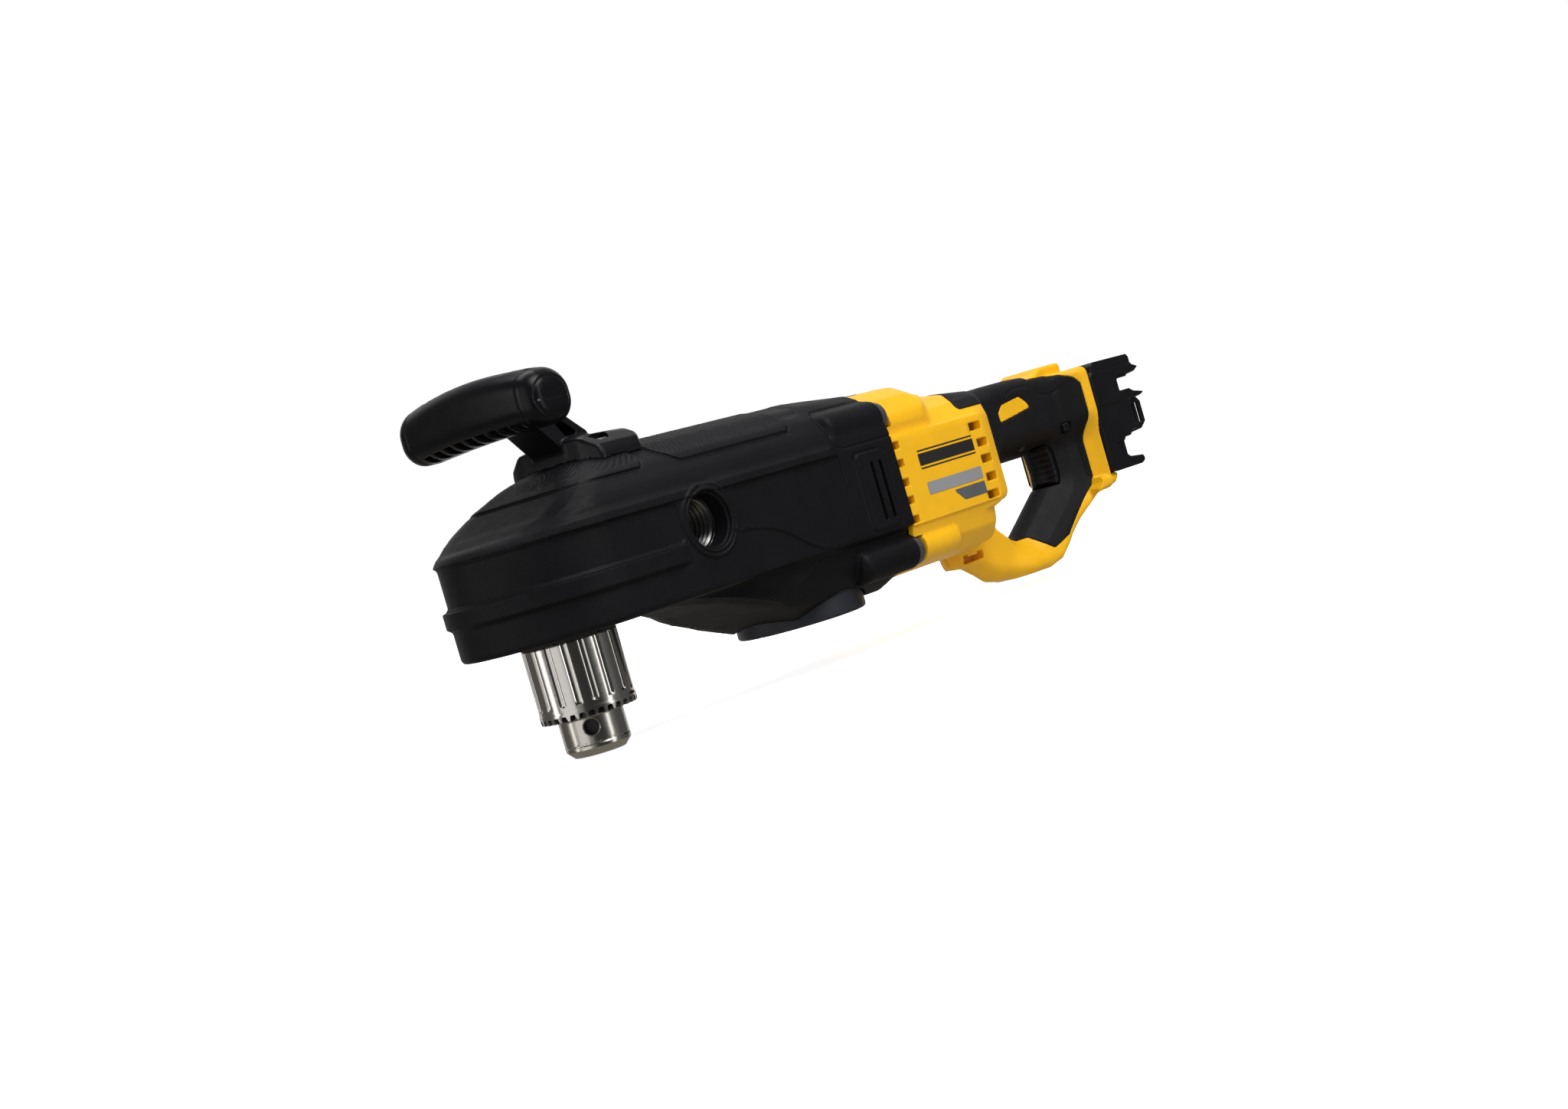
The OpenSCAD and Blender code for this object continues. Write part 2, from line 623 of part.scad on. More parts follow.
module motor_seats() difference() {
    intersection() {
        union() {
            box(222, 258, -50, 50, 20, 130);
            box(276, 283, -50, 50, 20, 130);
        }
        motor_shape(2.5);
    }
    rod_x(220, 260, 0, motor_z, stator_r);
    rod_x(270, 284, 0, motor_z, 9);
    for (s = [-1, 1]) box(220, 260, s * 50 - 12, s * 50 + 12, 10, 130);
    box(220, 260, -50, 50, 20, 45);
}

module housing_half(s) color(col_yellow) keep_side(s) difference() {
    union() {
        difference() {
            housing_outer();
            housing_cavities();
        }
        motor_seats();
    }
    soft_layer();
    if (s > 0) for (p = screw_at) rod_y(p[0], p[2] - 3, 60, p[1], 3.2);
    for (p = screw_at) rod_y(p[0], -p[2] + 2, 60, p[1], 1.5);
}
screw_at = [[290, 35.5, 12], [330, 16, 10], [352, 74, 15], [322, 104.5, 11]];

module housing_left() housing_half(-1);
module housing_right() housing_half(1);
module grip(s) color(col_black) difference() {
    keep_side(s) soft_layer();
    for (p = screw_at) rod_y(p[0], s > 0 ? -1 : 1 - p[2], 60, p[1], s > 0 ? 3.3 : 1.8);
}
module grip_left() grip(-1);
module grip_right() grip(1);

module housing_screws() color([0.35, 0.35, 0.37]) for (p = screw_at) {
    rod_y(p[0], -p[2] + 2, p[2] - 3, p[1], 1.5);
    difference() {
        rod_y(p[0], p[2] - 3, p[2] - 1, p[1], 3.2);
        rod_y(p[0], p[2] - 2.2, p[2], p[1], 1.2);
    }
}

module case_bolts() color([0.35, 0.36, 0.38]) for (s = [-1, 1], z = [boss_low_z, boss_top_z]) difference() {
    union() {
        rod_x(200.2, 206.5, s * boss_y, z, 7.4);
        rod_x(169, 200.2, s * boss_y, z, 2.5);
    }
    translate([203.5, s * boss_y, z]) rotate([0, 90, 0]) cylinder(r = 2.6, h = 6, $fn = 6);
}

module plate(s, x0, x1, z0, z1, r) scale([1, s, 1]) along_y(46.6, 47)
    translate([(x0 + x1) / 2, (z0 + z1) / 2]) round_rect(x1 - x0, z1 - z0, r);
module badge_left() color([0.15, 0.15, 0.16]) plate(-1, 218, 265, 79.5, 89.5, 1.5);
module badge_right() color([0.15, 0.15, 0.16]) plate(1, 218, 265, 79.5, 89.5, 1.5);
module label_left() color([0.8, 0.8, 0.8]) plate(-1, 219, 265.5, 66, 72.6, 1.2);
module label_right() color([0.8, 0.8, 0.8]) plate(1, 219, 265.5, 66, 72.6, 1.2);
module tag_left() color([0.35, 0.35, 0.37]) plate(-1, 240, 265.5, 58.2, 64.8, 1.2);
module tag_right() color([0.35, 0.35, 0.37]) plate(1, 240, 265.5, 58.2, 64.8, 1.2);
module top_tag() color([0.35, 0.35, 0.37]) intersection() {
    difference() { motor_shape(-0.4); motor_shape(0); }
    box(203, 218, -22, 22, 110, 130);
}

// ---------- pack receiver and electrics ----------

module pack_receiver() color([0.12, 0.12, 0.14]) difference() {
    union() {
        intersection() {
            along_y(-rec_w, rec_w) polygon([[pod_x + 0.2, 48], [413, 46], [440.5, 46], [440.5, 49.5], [428, 51],
                [426, 54], [426, 62.5], [434, 64.5], [442.5, 66.5], [442.5, 84], [458, 85.2], [442.5, 87.5],
                [442.5, 96.5], [458, 99.4], [451.5, 102.5], [451, 108.6], [413, 109.2], [411, 103], [pod_x + 0.2, 100]]);
            box(400, 470, -rec_w, rec_w, 40, 120);
        }
    }
    // hollow behind the contacts, and the way for the leads
    box(418, 470, -25, 25, 40, 96.5);
    box(400, 420, -14, 14, 60, 90);
    for (s = [-1, 1]) box(432, 460, s * 28.5 - 4.5, s * 28.5 + 4.5, 88.2, 95.8);
}

module terminal_block() color([0.16, 0.16, 0.18]) {
    box(418, 434, -24.5, 24.5, 62, 86);
    box(434, 461.5, -24.5, 24.5, 83, 86);
    box(434, 461.5, -24.5, 24.5, 62, 65);
    for (s = [-1, 1]) box(458.9, 461.5, s * 23.4 - 1.1, s * 23.4 + 1.1, 65, 83);
    box(434, 444, -24.5, 24.5, 65, 83);
}

module terminal_blades() color([0.85, 0.8, 0.7]) for (y = [-20.4, -13.6, -6.8, 0, 6.8, 13.6, 20.4])
    box(444, 457.5, y - 0.5, y + 0.5, 66.5, 81.5);

module control_module() color([0.2, 0.3, 0.25]) box(399.6, 405.8, -13.5, 13.5, 83, 102);
module trigger_switch() color([0.15, 0.15, 0.17]) {
    box(400.2, 405.8, -11, 11, 49, 79);
}
module motor_leads() color([0.7, 0.2, 0.15]) for (y = [-6, 0, 6])
    rod_x(284, 398.2, y, 90, 1.3);

module trigger() color([0.14, 0.14, 0.16]) intersection() {
    along_y(-9, 9) polygon([[379, 48.5], [392.8, 48.5], [392.8, 71.5], [378, 71.5], [377.6, 66], [378.8, 58], [378, 51]]);
    linear_extrude(100) polygon([[377, -4.5], [380, -7.5], [383.5, -9], [393, -9], [393, 9], [383.5, 9],
        [380, 7.5], [377, 4.5]]);
}

module direction_button() color([0.5, 0.1, 0.1]) box(386, 392, -20.5, 20.5, 75.5, 80.5);

// ---------- motor ----------

module stator_core() color([0.45, 0.45, 0.47]) difference() {
    rod_x(224, 256, 0, motor_z, stator_r);
    rod_x(220, 260, 0, motor_z, rotor_r + 0.8);
    for (a = [0:60:300]) translate([0, 0, motor_z]) rotate([a + 30, 0, 0]) translate([0, 0, -motor_z])
        along_x(220, 260) polygon([[-5.5, motor_z + 19], [5.5, motor_z + 19], [8, motor_z + 26.5], [-8, motor_z + 26.5]]);
    for (a = [0:60:300]) translate([0, 0, motor_z]) rotate([a + 30, 0, 0]) box(220, 260, -1.2, 1.2, 10, 20);
}

module stator_coils() color([0.72, 0.4, 0.15]) for (a = [0:60:300], x = [[220, 223.8], [256.2, 260]])
    translate([0, 0, motor_z]) rotate([a, 0, 0]) box(x[0], x[1], -7, 7, 18.5, 27);

module rotor_core() color([0.4, 0.4, 0.42]) difference() {
    rod_x(224, 256, 0, motor_z, rotor_r - 2.5);
    rod_x(220, 260, 0, motor_z, 4);
}
module rotor_magnets() color([0.25, 0.25, 0.28]) difference() {
    rod_x(225, 255, 0, motor_z, rotor_r);
    rod_x(220, 260, 0, motor_z, rotor_r - 2.5);
    for (a = [0:90:270]) translate([0, 0, motor_z]) rotate([a, 0, 0]) box(220, 260, -0.8, 0.8, 5, 20);
}
module motor_fan() color([0.2, 0.2, 0.22]) {
    difference() {
        rod_x(204, 206.5, 0, motor_z, 28);
        rod_x(200, 220, 0, motor_z, 4);
    }
    difference() {
        rod_x(204, 214, 0, motor_z, 8);
        rod_x(200, 220, 0, motor_z, 4);
    }
    for (a = [0:30:330]) translate([0, 0, motor_z]) rotate([a, 0, 0]) box(206.5, 213, -0.8, 0.8, 7.5, 27.5);
}

gear_case();
head_boot();
nose_plate();
side_socket_left();
side_socket_right();
bail_bracket();
bail_grip();
bail_bolts();
case_bolts();
housing_left();
housing_right();
grip_left();
grip_right();
housing_screws();
badge_left();
badge_right();
label_left();
label_right();
tag_left();
tag_right();
top_tag();
pack_receiver();
terminal_block();
terminal_blades();
control_module();
trigger_switch();
motor_leads();
stator_core();
stator_coils();
motor_front_bearing();
motor_rear_bearing();
counter_bearings();
layshaft_bearings();
spindle_lower_bearing();
spindle_upper_bearing();
rotor_shaft();
rotor_core();
rotor_magnets();
motor_fan();
counter_shaft();
layshaft();
spindle();
face_gear();
chuck_body();
chuck_hub();
chuck_screw();
chuck_sleeve();
chuck_nut();
jaw_a();
jaw_b();
jaw_c();
trigger();
direction_button();
speed_knob();
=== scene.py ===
"""Looks of the stud-and-joist drill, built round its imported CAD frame.

Most visible pieces are closed meshes taken from signed distance functions written in millimetres,
in the part's own frame: X to the rear, Z up along the chuck, the origin at the chuck's mouth.
"""

import math

import bpy
import numpy as np
import openvdb
from mathutils import Matrix, Vector


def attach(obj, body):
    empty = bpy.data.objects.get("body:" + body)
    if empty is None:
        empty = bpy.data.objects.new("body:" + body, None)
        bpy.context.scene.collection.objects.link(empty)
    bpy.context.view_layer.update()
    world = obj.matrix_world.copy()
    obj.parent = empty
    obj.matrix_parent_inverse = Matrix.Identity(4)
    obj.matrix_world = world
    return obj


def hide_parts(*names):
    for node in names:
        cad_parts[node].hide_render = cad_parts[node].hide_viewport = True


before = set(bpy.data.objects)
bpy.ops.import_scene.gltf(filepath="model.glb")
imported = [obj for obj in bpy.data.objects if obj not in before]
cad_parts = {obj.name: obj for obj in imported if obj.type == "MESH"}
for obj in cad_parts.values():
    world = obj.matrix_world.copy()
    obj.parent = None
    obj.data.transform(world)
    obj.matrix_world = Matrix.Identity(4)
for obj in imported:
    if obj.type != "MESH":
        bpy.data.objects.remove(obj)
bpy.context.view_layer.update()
MM = 0.001
SIDES = {-1: "left", 1: "right"}
COARSE = 1.0


# ---------------------------------------------------------------- distance functions


def inset(points, t):
    """A counter-clockwise outline with every edge moved inwards by t."""
    out = []
    for i, b in enumerate(points):
        a, c = points[i - 1], points[(i + 1) % len(points)]
        n1 = np.array([a[1] - b[1], b[0] - a[0]], float)
        n2 = np.array([b[1] - c[1], c[0] - b[0]], float)
        n1 /= np.hypot(*n1)
        n2 /= np.hypot(*n2)
        out.append(tuple(np.array(b) + t * (n1 + n2) / (1 + n1 @ n2)))
    return out


def doubled(points):
    """A cross-section from its half at positive u."""
    return points + [(-u, v) for u, v in reversed(points)]


def mirrored_plan(points):
    """A plan outline from its half at one side."""
    return points + [(u, -v) for u, v in reversed(points)]


def ccw(points):
    """The outline turned to run counter-clockwise."""
    area = sum((b[0] - a[0]) * (b[1] + a[1]) for a, b in zip(points, points[1:] + points[:1]))
    return points if area < 0 else points[::-1]


def poly(u, v, points):
    """Signed distance to a polygon, negative inside."""
    d = inside = None
    for i in range(len(points)):
        (ax, ay), (bx, by) = points[i], points[i - 1]
        ex, ey, wx, wy = bx - ax, by - ay, u - ax, v - ay
        t = np.clip((wx * ex + wy * ey) / (ex * ex + ey * ey), 0, 1)
        dd = (wx - ex * t) ** 2 + (wy - ey * t) ** 2
        d = dd if d is None else np.minimum(d, dd)
        above, below, left = (v >= ay), (v < by), (ex * wy > ey * wx)
        flip = (above & below & left) | ~(above | below | left)
        inside = flip if inside is None else inside ^ flip
    return np.where(inside, -1, 1) * np.sqrt(d)


def rpoly(u, v, points, r):
    """The same with its convex corners rounded to r."""
    return poly(u, v, inset(points, r)) - r


def line(u, v, points):
    """Distance to an open run of straight lines."""
    d = None
    for (ax, ay), (bx, by) in zip(points, points[1:]):
        ex, ey, wx, wy = bx - ax, by - ay, u - ax, v - ay
        t = np.clip((wx * ex + wy * ey) / (ex * ex + ey * ey), 0, 1)
        dd = (wx - ex * t) ** 2 + (wy - ey * t) ** 2
        d = dd if d is None else np.minimum(d, dd)
    return np.sqrt(d)


def rbox(u, v, u0, u1, v0, v1, r=0.0):
    """Signed distance to a rectangle with its corners rounded to r."""
    a = np.abs(u - (u0 + u1) / 2) - (u1 - u0) / 2 + r
    b = np.abs(v - (v0 + v1) / 2) - (v1 - v0) / 2 + r
    return np.minimum(np.maximum(a, b), 0) + np.hypot(np.maximum(a, 0), np.maximum(b, 0)) - r


def both(a, b, r=0.0):
    """Intersection with its edge rounded to r."""
    if isinstance(r, (int, float)) and r == 0:
        return np.maximum(a, b)
    return np.minimum(np.maximum(a, b), -r) + np.hypot(np.maximum(a + r, 0), np.maximum(b + r, 0))


def deepest(*parts):
    """Plain intersection of several."""
    out = parts[0]
    for part in parts[1:]:
        out = np.maximum(out, part)
    return out


def either(a, b, r=0.0):
    """Union with a fillet of radius r."""
    if r == 0:
        return np.minimum(a, b)
    return np.maximum(np.minimum(a, b), r) - np.hypot(np.maximum(r - a, 0), np.maximum(r - b, 0))


def cut(a, b, r=0.0):
    """a with b taken away, and the edge rounded to r."""
    return both(a, -b, r)


def step(v, a, b):
    """0 before a and 1 after b, smoothly; b below a runs the other way."""
    t = np.clip((v - a) / (b - a), 0, 1)
    return t * t * (3 - 2 * t)


def band(v, a, b, wa, wb):
    """1 between a and b, with edges wa and wb wide inside it."""
    return step(v, a, a + wa) * step(v, b, b - wb)


# ---------------------------------------------------------------- meshes


def new_object(name, points, faces, material, normals=None, flat=False):
    """A mesh object from points in millimetres."""
    me = bpy.data.meshes.new(name)
    me.from_pydata((np.asarray(points) * MM).tolist(), [], [list(f) for f in faces])
    me.materials.append(material)
    me.polygons.foreach_set("use_smooth", [not flat] * len(me.polygons))
    me.validate()
    if normals is not None and len(me.vertices) == len(normals):
        me.normals_split_custom_set_from_vertices(normals.tolist())
    ob = bpy.data.objects.new(name, me)
    bpy.context.scene.collection.objects.link(ob)
    return ob


def settle(ob, body, nodes):
    """Puts a piece on its body, in the place of its CAD nodes."""
    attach(ob, body)
    if nodes:
        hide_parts(*nodes)


def gradient(f, p, e):
    """The slope of f at each point, over e mm to both sides."""
    g = np.empty((len(p), 3))
    for k in range(3):
        s = np.zeros(3)
        s[k] = e
        a, b = p + s, p - s
        g[:, k] = (f(a[:, 0], a[:, 1], a[:, 2]) - f(b[:, 0], b[:, 1], b[:, 2])) / (2 * e)
    return g


def skin(name, f, low, high, h, material, adapt=0.01, mirror=False):
    """A closed mesh of the surface f = 0 within a box, from a grid h mm apart. Its points are then
    moved onto the surface, and it is shaded by the surface's own slope."""
    h *= COARSE
    far_off = 3 * h  # the mesh doesn't depend on distances past this
    axes = [np.arange(a, b + h, h) for a, b in zip(low, high)]
    d = f(axes[0][:, None, None], axes[1][None, :, None], axes[2][None, None, :])
    d = np.broadcast_to(d, [len(a) for a in axes])
    d = np.ascontiguousarray(np.clip(d, -far_off, far_off), dtype=np.float32)
    for k in range(3):  # closed at the box's own faces
        ends = [slice(None)] * 3
        ends[k] = [0, -1]
        d[tuple(ends)] = far_off
    grid = openvdb.FloatGrid(far_off)
    grid.copyFromArray(d)
    points, tris, quads = grid.convertToPolygons(isovalue=0.0, adaptivity=adapt)
    points = np.array([a[0] for a in axes]) + points.astype(float) * h
    for _ in range(2):
        value = f(points[:, 0], points[:, 1], points[:, 2])
        g = gradient(f, points, 0.05)
        size = np.maximum((g * g).sum(1), 0.25)
        move = -g * (value / size)[:, None]
        far = np.sqrt((move * move).sum(1))
        points += move * np.minimum(1, 0.6 * h / np.maximum(far, 1e-9))[:, None]
    normals = gradient(f, points, 0.12)
    normals /= np.maximum(np.sqrt((normals * normals).sum(1)), 1e-9)[:, None]
    a, b, c = (points[quads[:, k]] for k in range(3))
    outwards = (np.cross(b - a, c - a) * normals[quads[:, 0]]).sum() > 0
    if mirror:
        points[:, 1] *= -1
        normals[:, 1] *= -1
    way = 1 if outwards != mirror else -1
    faces = [face[::way] for face in tris.tolist() + quads.tolist()]
    return new_object(name, points, faces, material, normals)


# ---------------------------------------------------------------- materials


def material(name, colour, rough=0.5, metal=0.0, spec=0.5, spread=0.0, grain=None, grain_depth=0.0,
             brushed=None):
    """A procedural finish. spread varies the colour and roughness over a few centimetres, grain is
    the size in mm of a moulded texture and grain_depth its bump in mm, and brushed is how densely
    machining marks repeat along each axis: they run along the axes with low numbers."""
    m = bpy.data.materials.new(name)
    m.use_nodes = True
    m.diffuse_color = (*colour, 1)
    nt = m.node_tree
    p = nt.nodes["Principled BSDF"]
    p.inputs["Base Color"].default_value = (*colour, 1)
    p.inputs["Roughness"].default_value = rough
    p.inputs["Metallic"].default_value = metal
    p.inputs["Specular IOR Level"].default_value = spec

    def node(kind, **values):
        n = nt.nodes.new(kind)
        for k, v in values.items():
            n.inputs[k].default_value = v
        return n

    def link(a, b):
        nt.links.new(a, b)

    where = node("ShaderNodeTexCoord").outputs["Object"]
    if spread:
        cloud = node("ShaderNodeTexNoise", Scale=55.0, Detail=5.0, Roughness=0.6)
        link(where, cloud.inputs["Vector"])
        tint = node("ShaderNodeValToRGB")
        dark, light = [tuple(min(1, c * (1 + s * spread)) for c in colour) for s in (-1, 1)]
        tint.color_ramp.elements[0].color = (*dark, 1)
        tint.color_ramp.elements[1].color = (*light, 1)
        tint.color_ramp.elements[0].position, tint.color_ramp.elements[1].position = 0.3, 0.7
        link(cloud.outputs["Fac"], tint.inputs["Fac"])
        link(tint.outputs["Color"], p.inputs["Base Color"])
        dull = node("ShaderNodeMapRange")
        dull.inputs["To Min"].default_value = max(0.02, rough - 0.07)
        dull.inputs["To Max"].default_value = min(1, rough + 0.07)
        smudge = node("ShaderNodeTexNoise", Scale=140.0, Detail=3.0)
        link(where, smudge.inputs["Vector"])
        link(smudge.outputs["Fac"], dull.inputs["Value"])
        link(dull.outputs["Result"], p.inputs["Roughness"])
    if grain:
        bumps = node("ShaderNodeTexNoise", Scale=1000 / grain, Detail=2.0, Roughness=0.5)
        link(where, bumps.inputs["Vector"])
        bump = node("ShaderNodeBump", Strength=1.0, Distance=grain_depth * MM)
        link(bumps.outputs["Fac"], bump.inputs["Height"])
        link(bump.outputs["Normal"], p.inputs["Normal"])
    if brushed:
        stretch = node("ShaderNodeMapping")
        stretch.inputs["Scale"].default_value = brushed
        link(where, stretch.inputs["Vector"])
        marks = node("ShaderNodeTexNoise", Scale=1.0, Detail=4.0, Roughness=0.7)
        link(stretch.outputs["Vector"], marks.inputs["Vector"])
        bump = node("ShaderNodeBump", Strength=0.5, Distance=0.02 * MM)
        link(marks.outputs["Fac"], bump.inputs["Height"])
        link(bump.outputs["Normal"], p.inputs["Normal"])
        shine = node("ShaderNodeMapRange")
        shine.inputs["To Min"].default_value = max(0.02, rough - 0.06)
        shine.inputs["To Max"].default_value = rough + 0.1
        link(marks.outputs["Fac"], shine.inputs["Value"])
        link(shine.outputs["Result"], p.inputs["Roughness"])
    return m


RUBBER = material("boot_rubber", (0.0055, 0.0055, 0.0068), 0.55, spec=0.13, spread=0.2, grain=0.45,
                  grain_depth=0.05)
SOFT = material("soft_grip", (0.0065, 0.0065, 0.008), 0.6, spec=0.2, spread=0.18, grain=0.35,
                grain_depth=0.05)
YELLOW = material("yellow_nylon", (0.95, 0.50, 0.008), 0.4, spec=0.35, spread=0.05, grain=0.5,
                  grain_depth=0.035)
NYLON = material("black_nylon", (0.006, 0.006, 0.0075), 0.36, spec=0.2, spread=0.2, grain=0.6,
                 grain_depth=0.04)
GLASSY = material("handle_nylon", (0.004, 0.004, 0.0052), 0.3, spec=0.16, spread=0.2, grain=0.9,
                  grain_depth=0.012)
DISC = material("grey_disc", (0.026, 0.027, 0.033), 0.45, spec=0.25, spread=0.1, grain=0.5,
                grain_depth=0.03)
BRIGHT = material("bright_steel", (0.48, 0.46, 0.43), 0.16, 1.0, brushed=(60, 60, 2400))
TURNED = material("turned_steel", (0.46, 0.44, 0.40), 0.22, 1.0, brushed=(60, 60, 3200))
# painted shade: the thread steel is much darker than the turned steel, which stands for the shade deep
# in the side sockets
SHADED_THREAD = material("thread_steel_painted_shade", (0.16, 0.155, 0.15), 0.3, 1.0, spread=0.1)
DARK_STEEL = material("black_steel", (0.09, 0.09, 0.095), 0.36, 1.0, spread=0.15, grain=0.4,
                      grain_depth=0.02)
BOLT = material("bolt_cap", (0.13, 0.13, 0.14), 0.4, 0.7, spread=0.15, grain=0.4, grain_depth=0.02)
ALLOY = material("cast_alloy", (0.26, 0.26, 0.27), 0.5, 1.0, spread=0.15, grain=0.8, grain_depth=0.06)
GEAR = material("gear_steel", (0.42, 0.4, 0.37), 0.3, 1.0, spread=0.1, brushed=(400, 400, 900))
COPPER = material("copper_wire", (0.72, 0.32, 0.16), 0.35, 1.0, brushed=(300, 1800, 300))
CORE = material("laminated_core", (0.2, 0.2, 0.21), 0.5, 0.9, brushed=(3500, 60, 60))
MAGNET = material("magnet", (0.14, 0.14, 0.16), 0.35, 0.8, spread=0.1)
BLADE = material("contact_blade", (0.8, 0.77, 0.7), 0.22, 1.0, brushed=(60, 900, 900))
BOARD = material("control_module", (0.03, 0.035, 0.05), 0.3, spec=0.5, spread=0.2)
BADGE = material("badge_black", (0.016, 0.015, 0.013), 0.42, spread=0.15)
PALE = material("label_silver", (0.32, 0.32, 0.33), 0.4, 0.1, spread=0.05)
GREY = material("label_grey", (0.11, 0.115, 0.12), 0.35, spread=0.1)
WIRE = material("lead_red", (0.45, 0.02, 0.015), 0.45, spread=0.1)

# ---------------------------------------------------------------- gear head

WALL = 3.4  # of the boot and of the housing
HEAD_R = 48
SIDE = [(-60, 54), (220, 54), (220, 124.5), (188, 129.4), (165, 132), (60, 133.6), (28, 132.5),
        (8, 125), (-12, 114), (-34, 102.4), (-60, 101.5)]
CROWN = doubled([(52, 30), (52, 92.3), (45, 111), (39.5, 118.5), (28, 127), (14, 132)])
BELLY_SIDE = [(52, 54), (80, 46), (106, 35.5), (124, 25.6), (190, 25.6), (200, 31), (200, 75), (52, 75)]
BELLY = doubled([(22, 25.5), (33, 33), (42, 44), (46, 56), (46, 75)])
BELLY_PLAN = mirrored_plan([(46, -8), (62, -24), (90, -36), (120, -43), (150, -46), (200, -46)])
S_CURVE = [(62, 79.5), (80, 77.5), (92, 76), (104, 72.5), (113, 67.5), (122, 61.5), (130, 58),
           (145, 55), (162, 53), (210, 52.5)]
LOW_SIDE = S_CURVE + [(210, 20), (62, 20)]
RIGHT_PANEL = [(62, 79.5), (80, 77.5), (92, 76), (104, 72.5), (113, 67.5), (122, 61.5), (130, 58),
               (145, 55), (157, 53.5), (157, 97.8), (62, 97.8)]
TOP_FRONT = [(-70, 117.3), (33, 117.3), (37.5, 121), (37.5, 145), (-70, 145)]
TOP_REAR = [(58.5, 115.8), (133, 115.8), (137, 119), (137, 145), (46, 145), (46, 129), (51, 122)]
TONGUE = [(137, 121.5), (154, 122.5), (158, 125.5), (158, 140), (137, 140)]
SOCKET_X, SOCKET_Z = 59, 86
KNOB_X, KNOB_R = 152, 33
BOSS_Y, BOSS_TOP, BOSS_LOW = 38, 111, 42
BOLT_X, BOLT_Y = 31, 20


def from_middle(x, y):
    """Distance from the head's middle plane, or from the chuck axis in front of it."""
    return np.where(x < 0, np.hypot(x, y), np.abs(y))


def head_smooth(x, y, z):
    rho = from_middle(x, y)
    d = both(rpoly(x, z, SIDE, 10), rpoly(rho, z, CROWN, 12), 8)
    return both(both(d, rho - HEAD_R, 1.5), 54 - z, 1.5)


def belly_smooth(x, y, z):
    d = both(rpoly(x, z, BELLY_SIDE, 8), rpoly(y, z, BELLY, 10), 8)
    return both(d, rpoly(x, y, BELLY_PLAN, 10), 10)


def head_relief(x, y, z):
    """How far the boot's mouldings stand proud of its smooth shape."""
    from_socket = np.hypot(x - SOCKET_X, z - SOCKET_Z)
    on_side = step(np.abs(y), 30, 38)
    o = 1.5 * band(z, 98.2, 104.0, 0.5, 2.4) * (1 - step(x, 151, 156.5))
    o = o + 0.35 * step(z, 107.6, 106.8)
    o = o + 2.3 * band(z, 68.9, 79.0, 2.4, 1.1) * (1 - step(x, 33, 43))
    panel = step(rbox(x, z, -90, 40.5, 79.6, 97.6, 2.5), 0.5, -0.5)
    panel = np.maximum(panel, on_side * step(rpoly(x, z, RIGHT_PANEL, 1.5), 0.5, -0.6)
                       * step(from_socket, 17.8, 19.2))
    o = o - 0.8 * panel
    rim = 0.9 * step(from_socket, 18.2, 17.0) - 0.5 * band(from_socket, 14.6, 16.6, 0.7, 0.7)
    o = o + on_side * rim
    low = poly(x, z, LOW_SIDE)
    o = o - 1.7 * step(low, 0.7, -1.6) * step(x, 66, 86) * on_side
    vent = rbox(x, z, 168.5, 190, 57, 95.5, 2.5)
    o = o + on_side * 0.75 * step(vent, 0.4, -0.5)
    o = o - on_side * 0.45 * band(vent, 0.4, 1.8, 0.6, 0.8)
    top = np.minimum(rpoly(x, z, TOP_FRONT, 3.5), rpoly(x, z, TOP_REAR, 3))
    o = o + 0.8 * step(top, 0.3, -0.6) - 0.35 * band(top, 0.2, 1.6, 0.5, 0.9)
    # fine ribs on the two top pads, in rings about the chuck
    ribs = 0.5 + 0.5 * np.cos(math.tau * np.hypot(x, y) / 2.4)
    o = o - 0.3 * ribs * step(top, -0.9, -1.6) * step(z, 118.5, 121.5)
    o = o - 0.7 * step(rpoly(x, z, TONGUE, 2.5), 0.2, -0.6)
    for zc in (BOSS_TOP, BOSS_LOW):
        ring = rbox(x, z, 156.5, 205, zc - 10.8, zc + 10.8, 6)
        o = o - on_side * 0.6 * band(ring, -1.2, 0.6, 0.7, 0.8)
    return o


def bosses(x, y, z, r, x0, x1):
    ay = np.abs(y)
    d = None
    for zc, extra in ((BOSS_TOP, 0.4), (BOSS_LOW, 0.0)):
        radial = np.hypot(ay - BOSS_Y, z - zc)
        e = both(radial - r - extra, np.maximum(x0 - x, x - x1), 4)
        d = e if d is None else np.minimum(d, e)
    return d


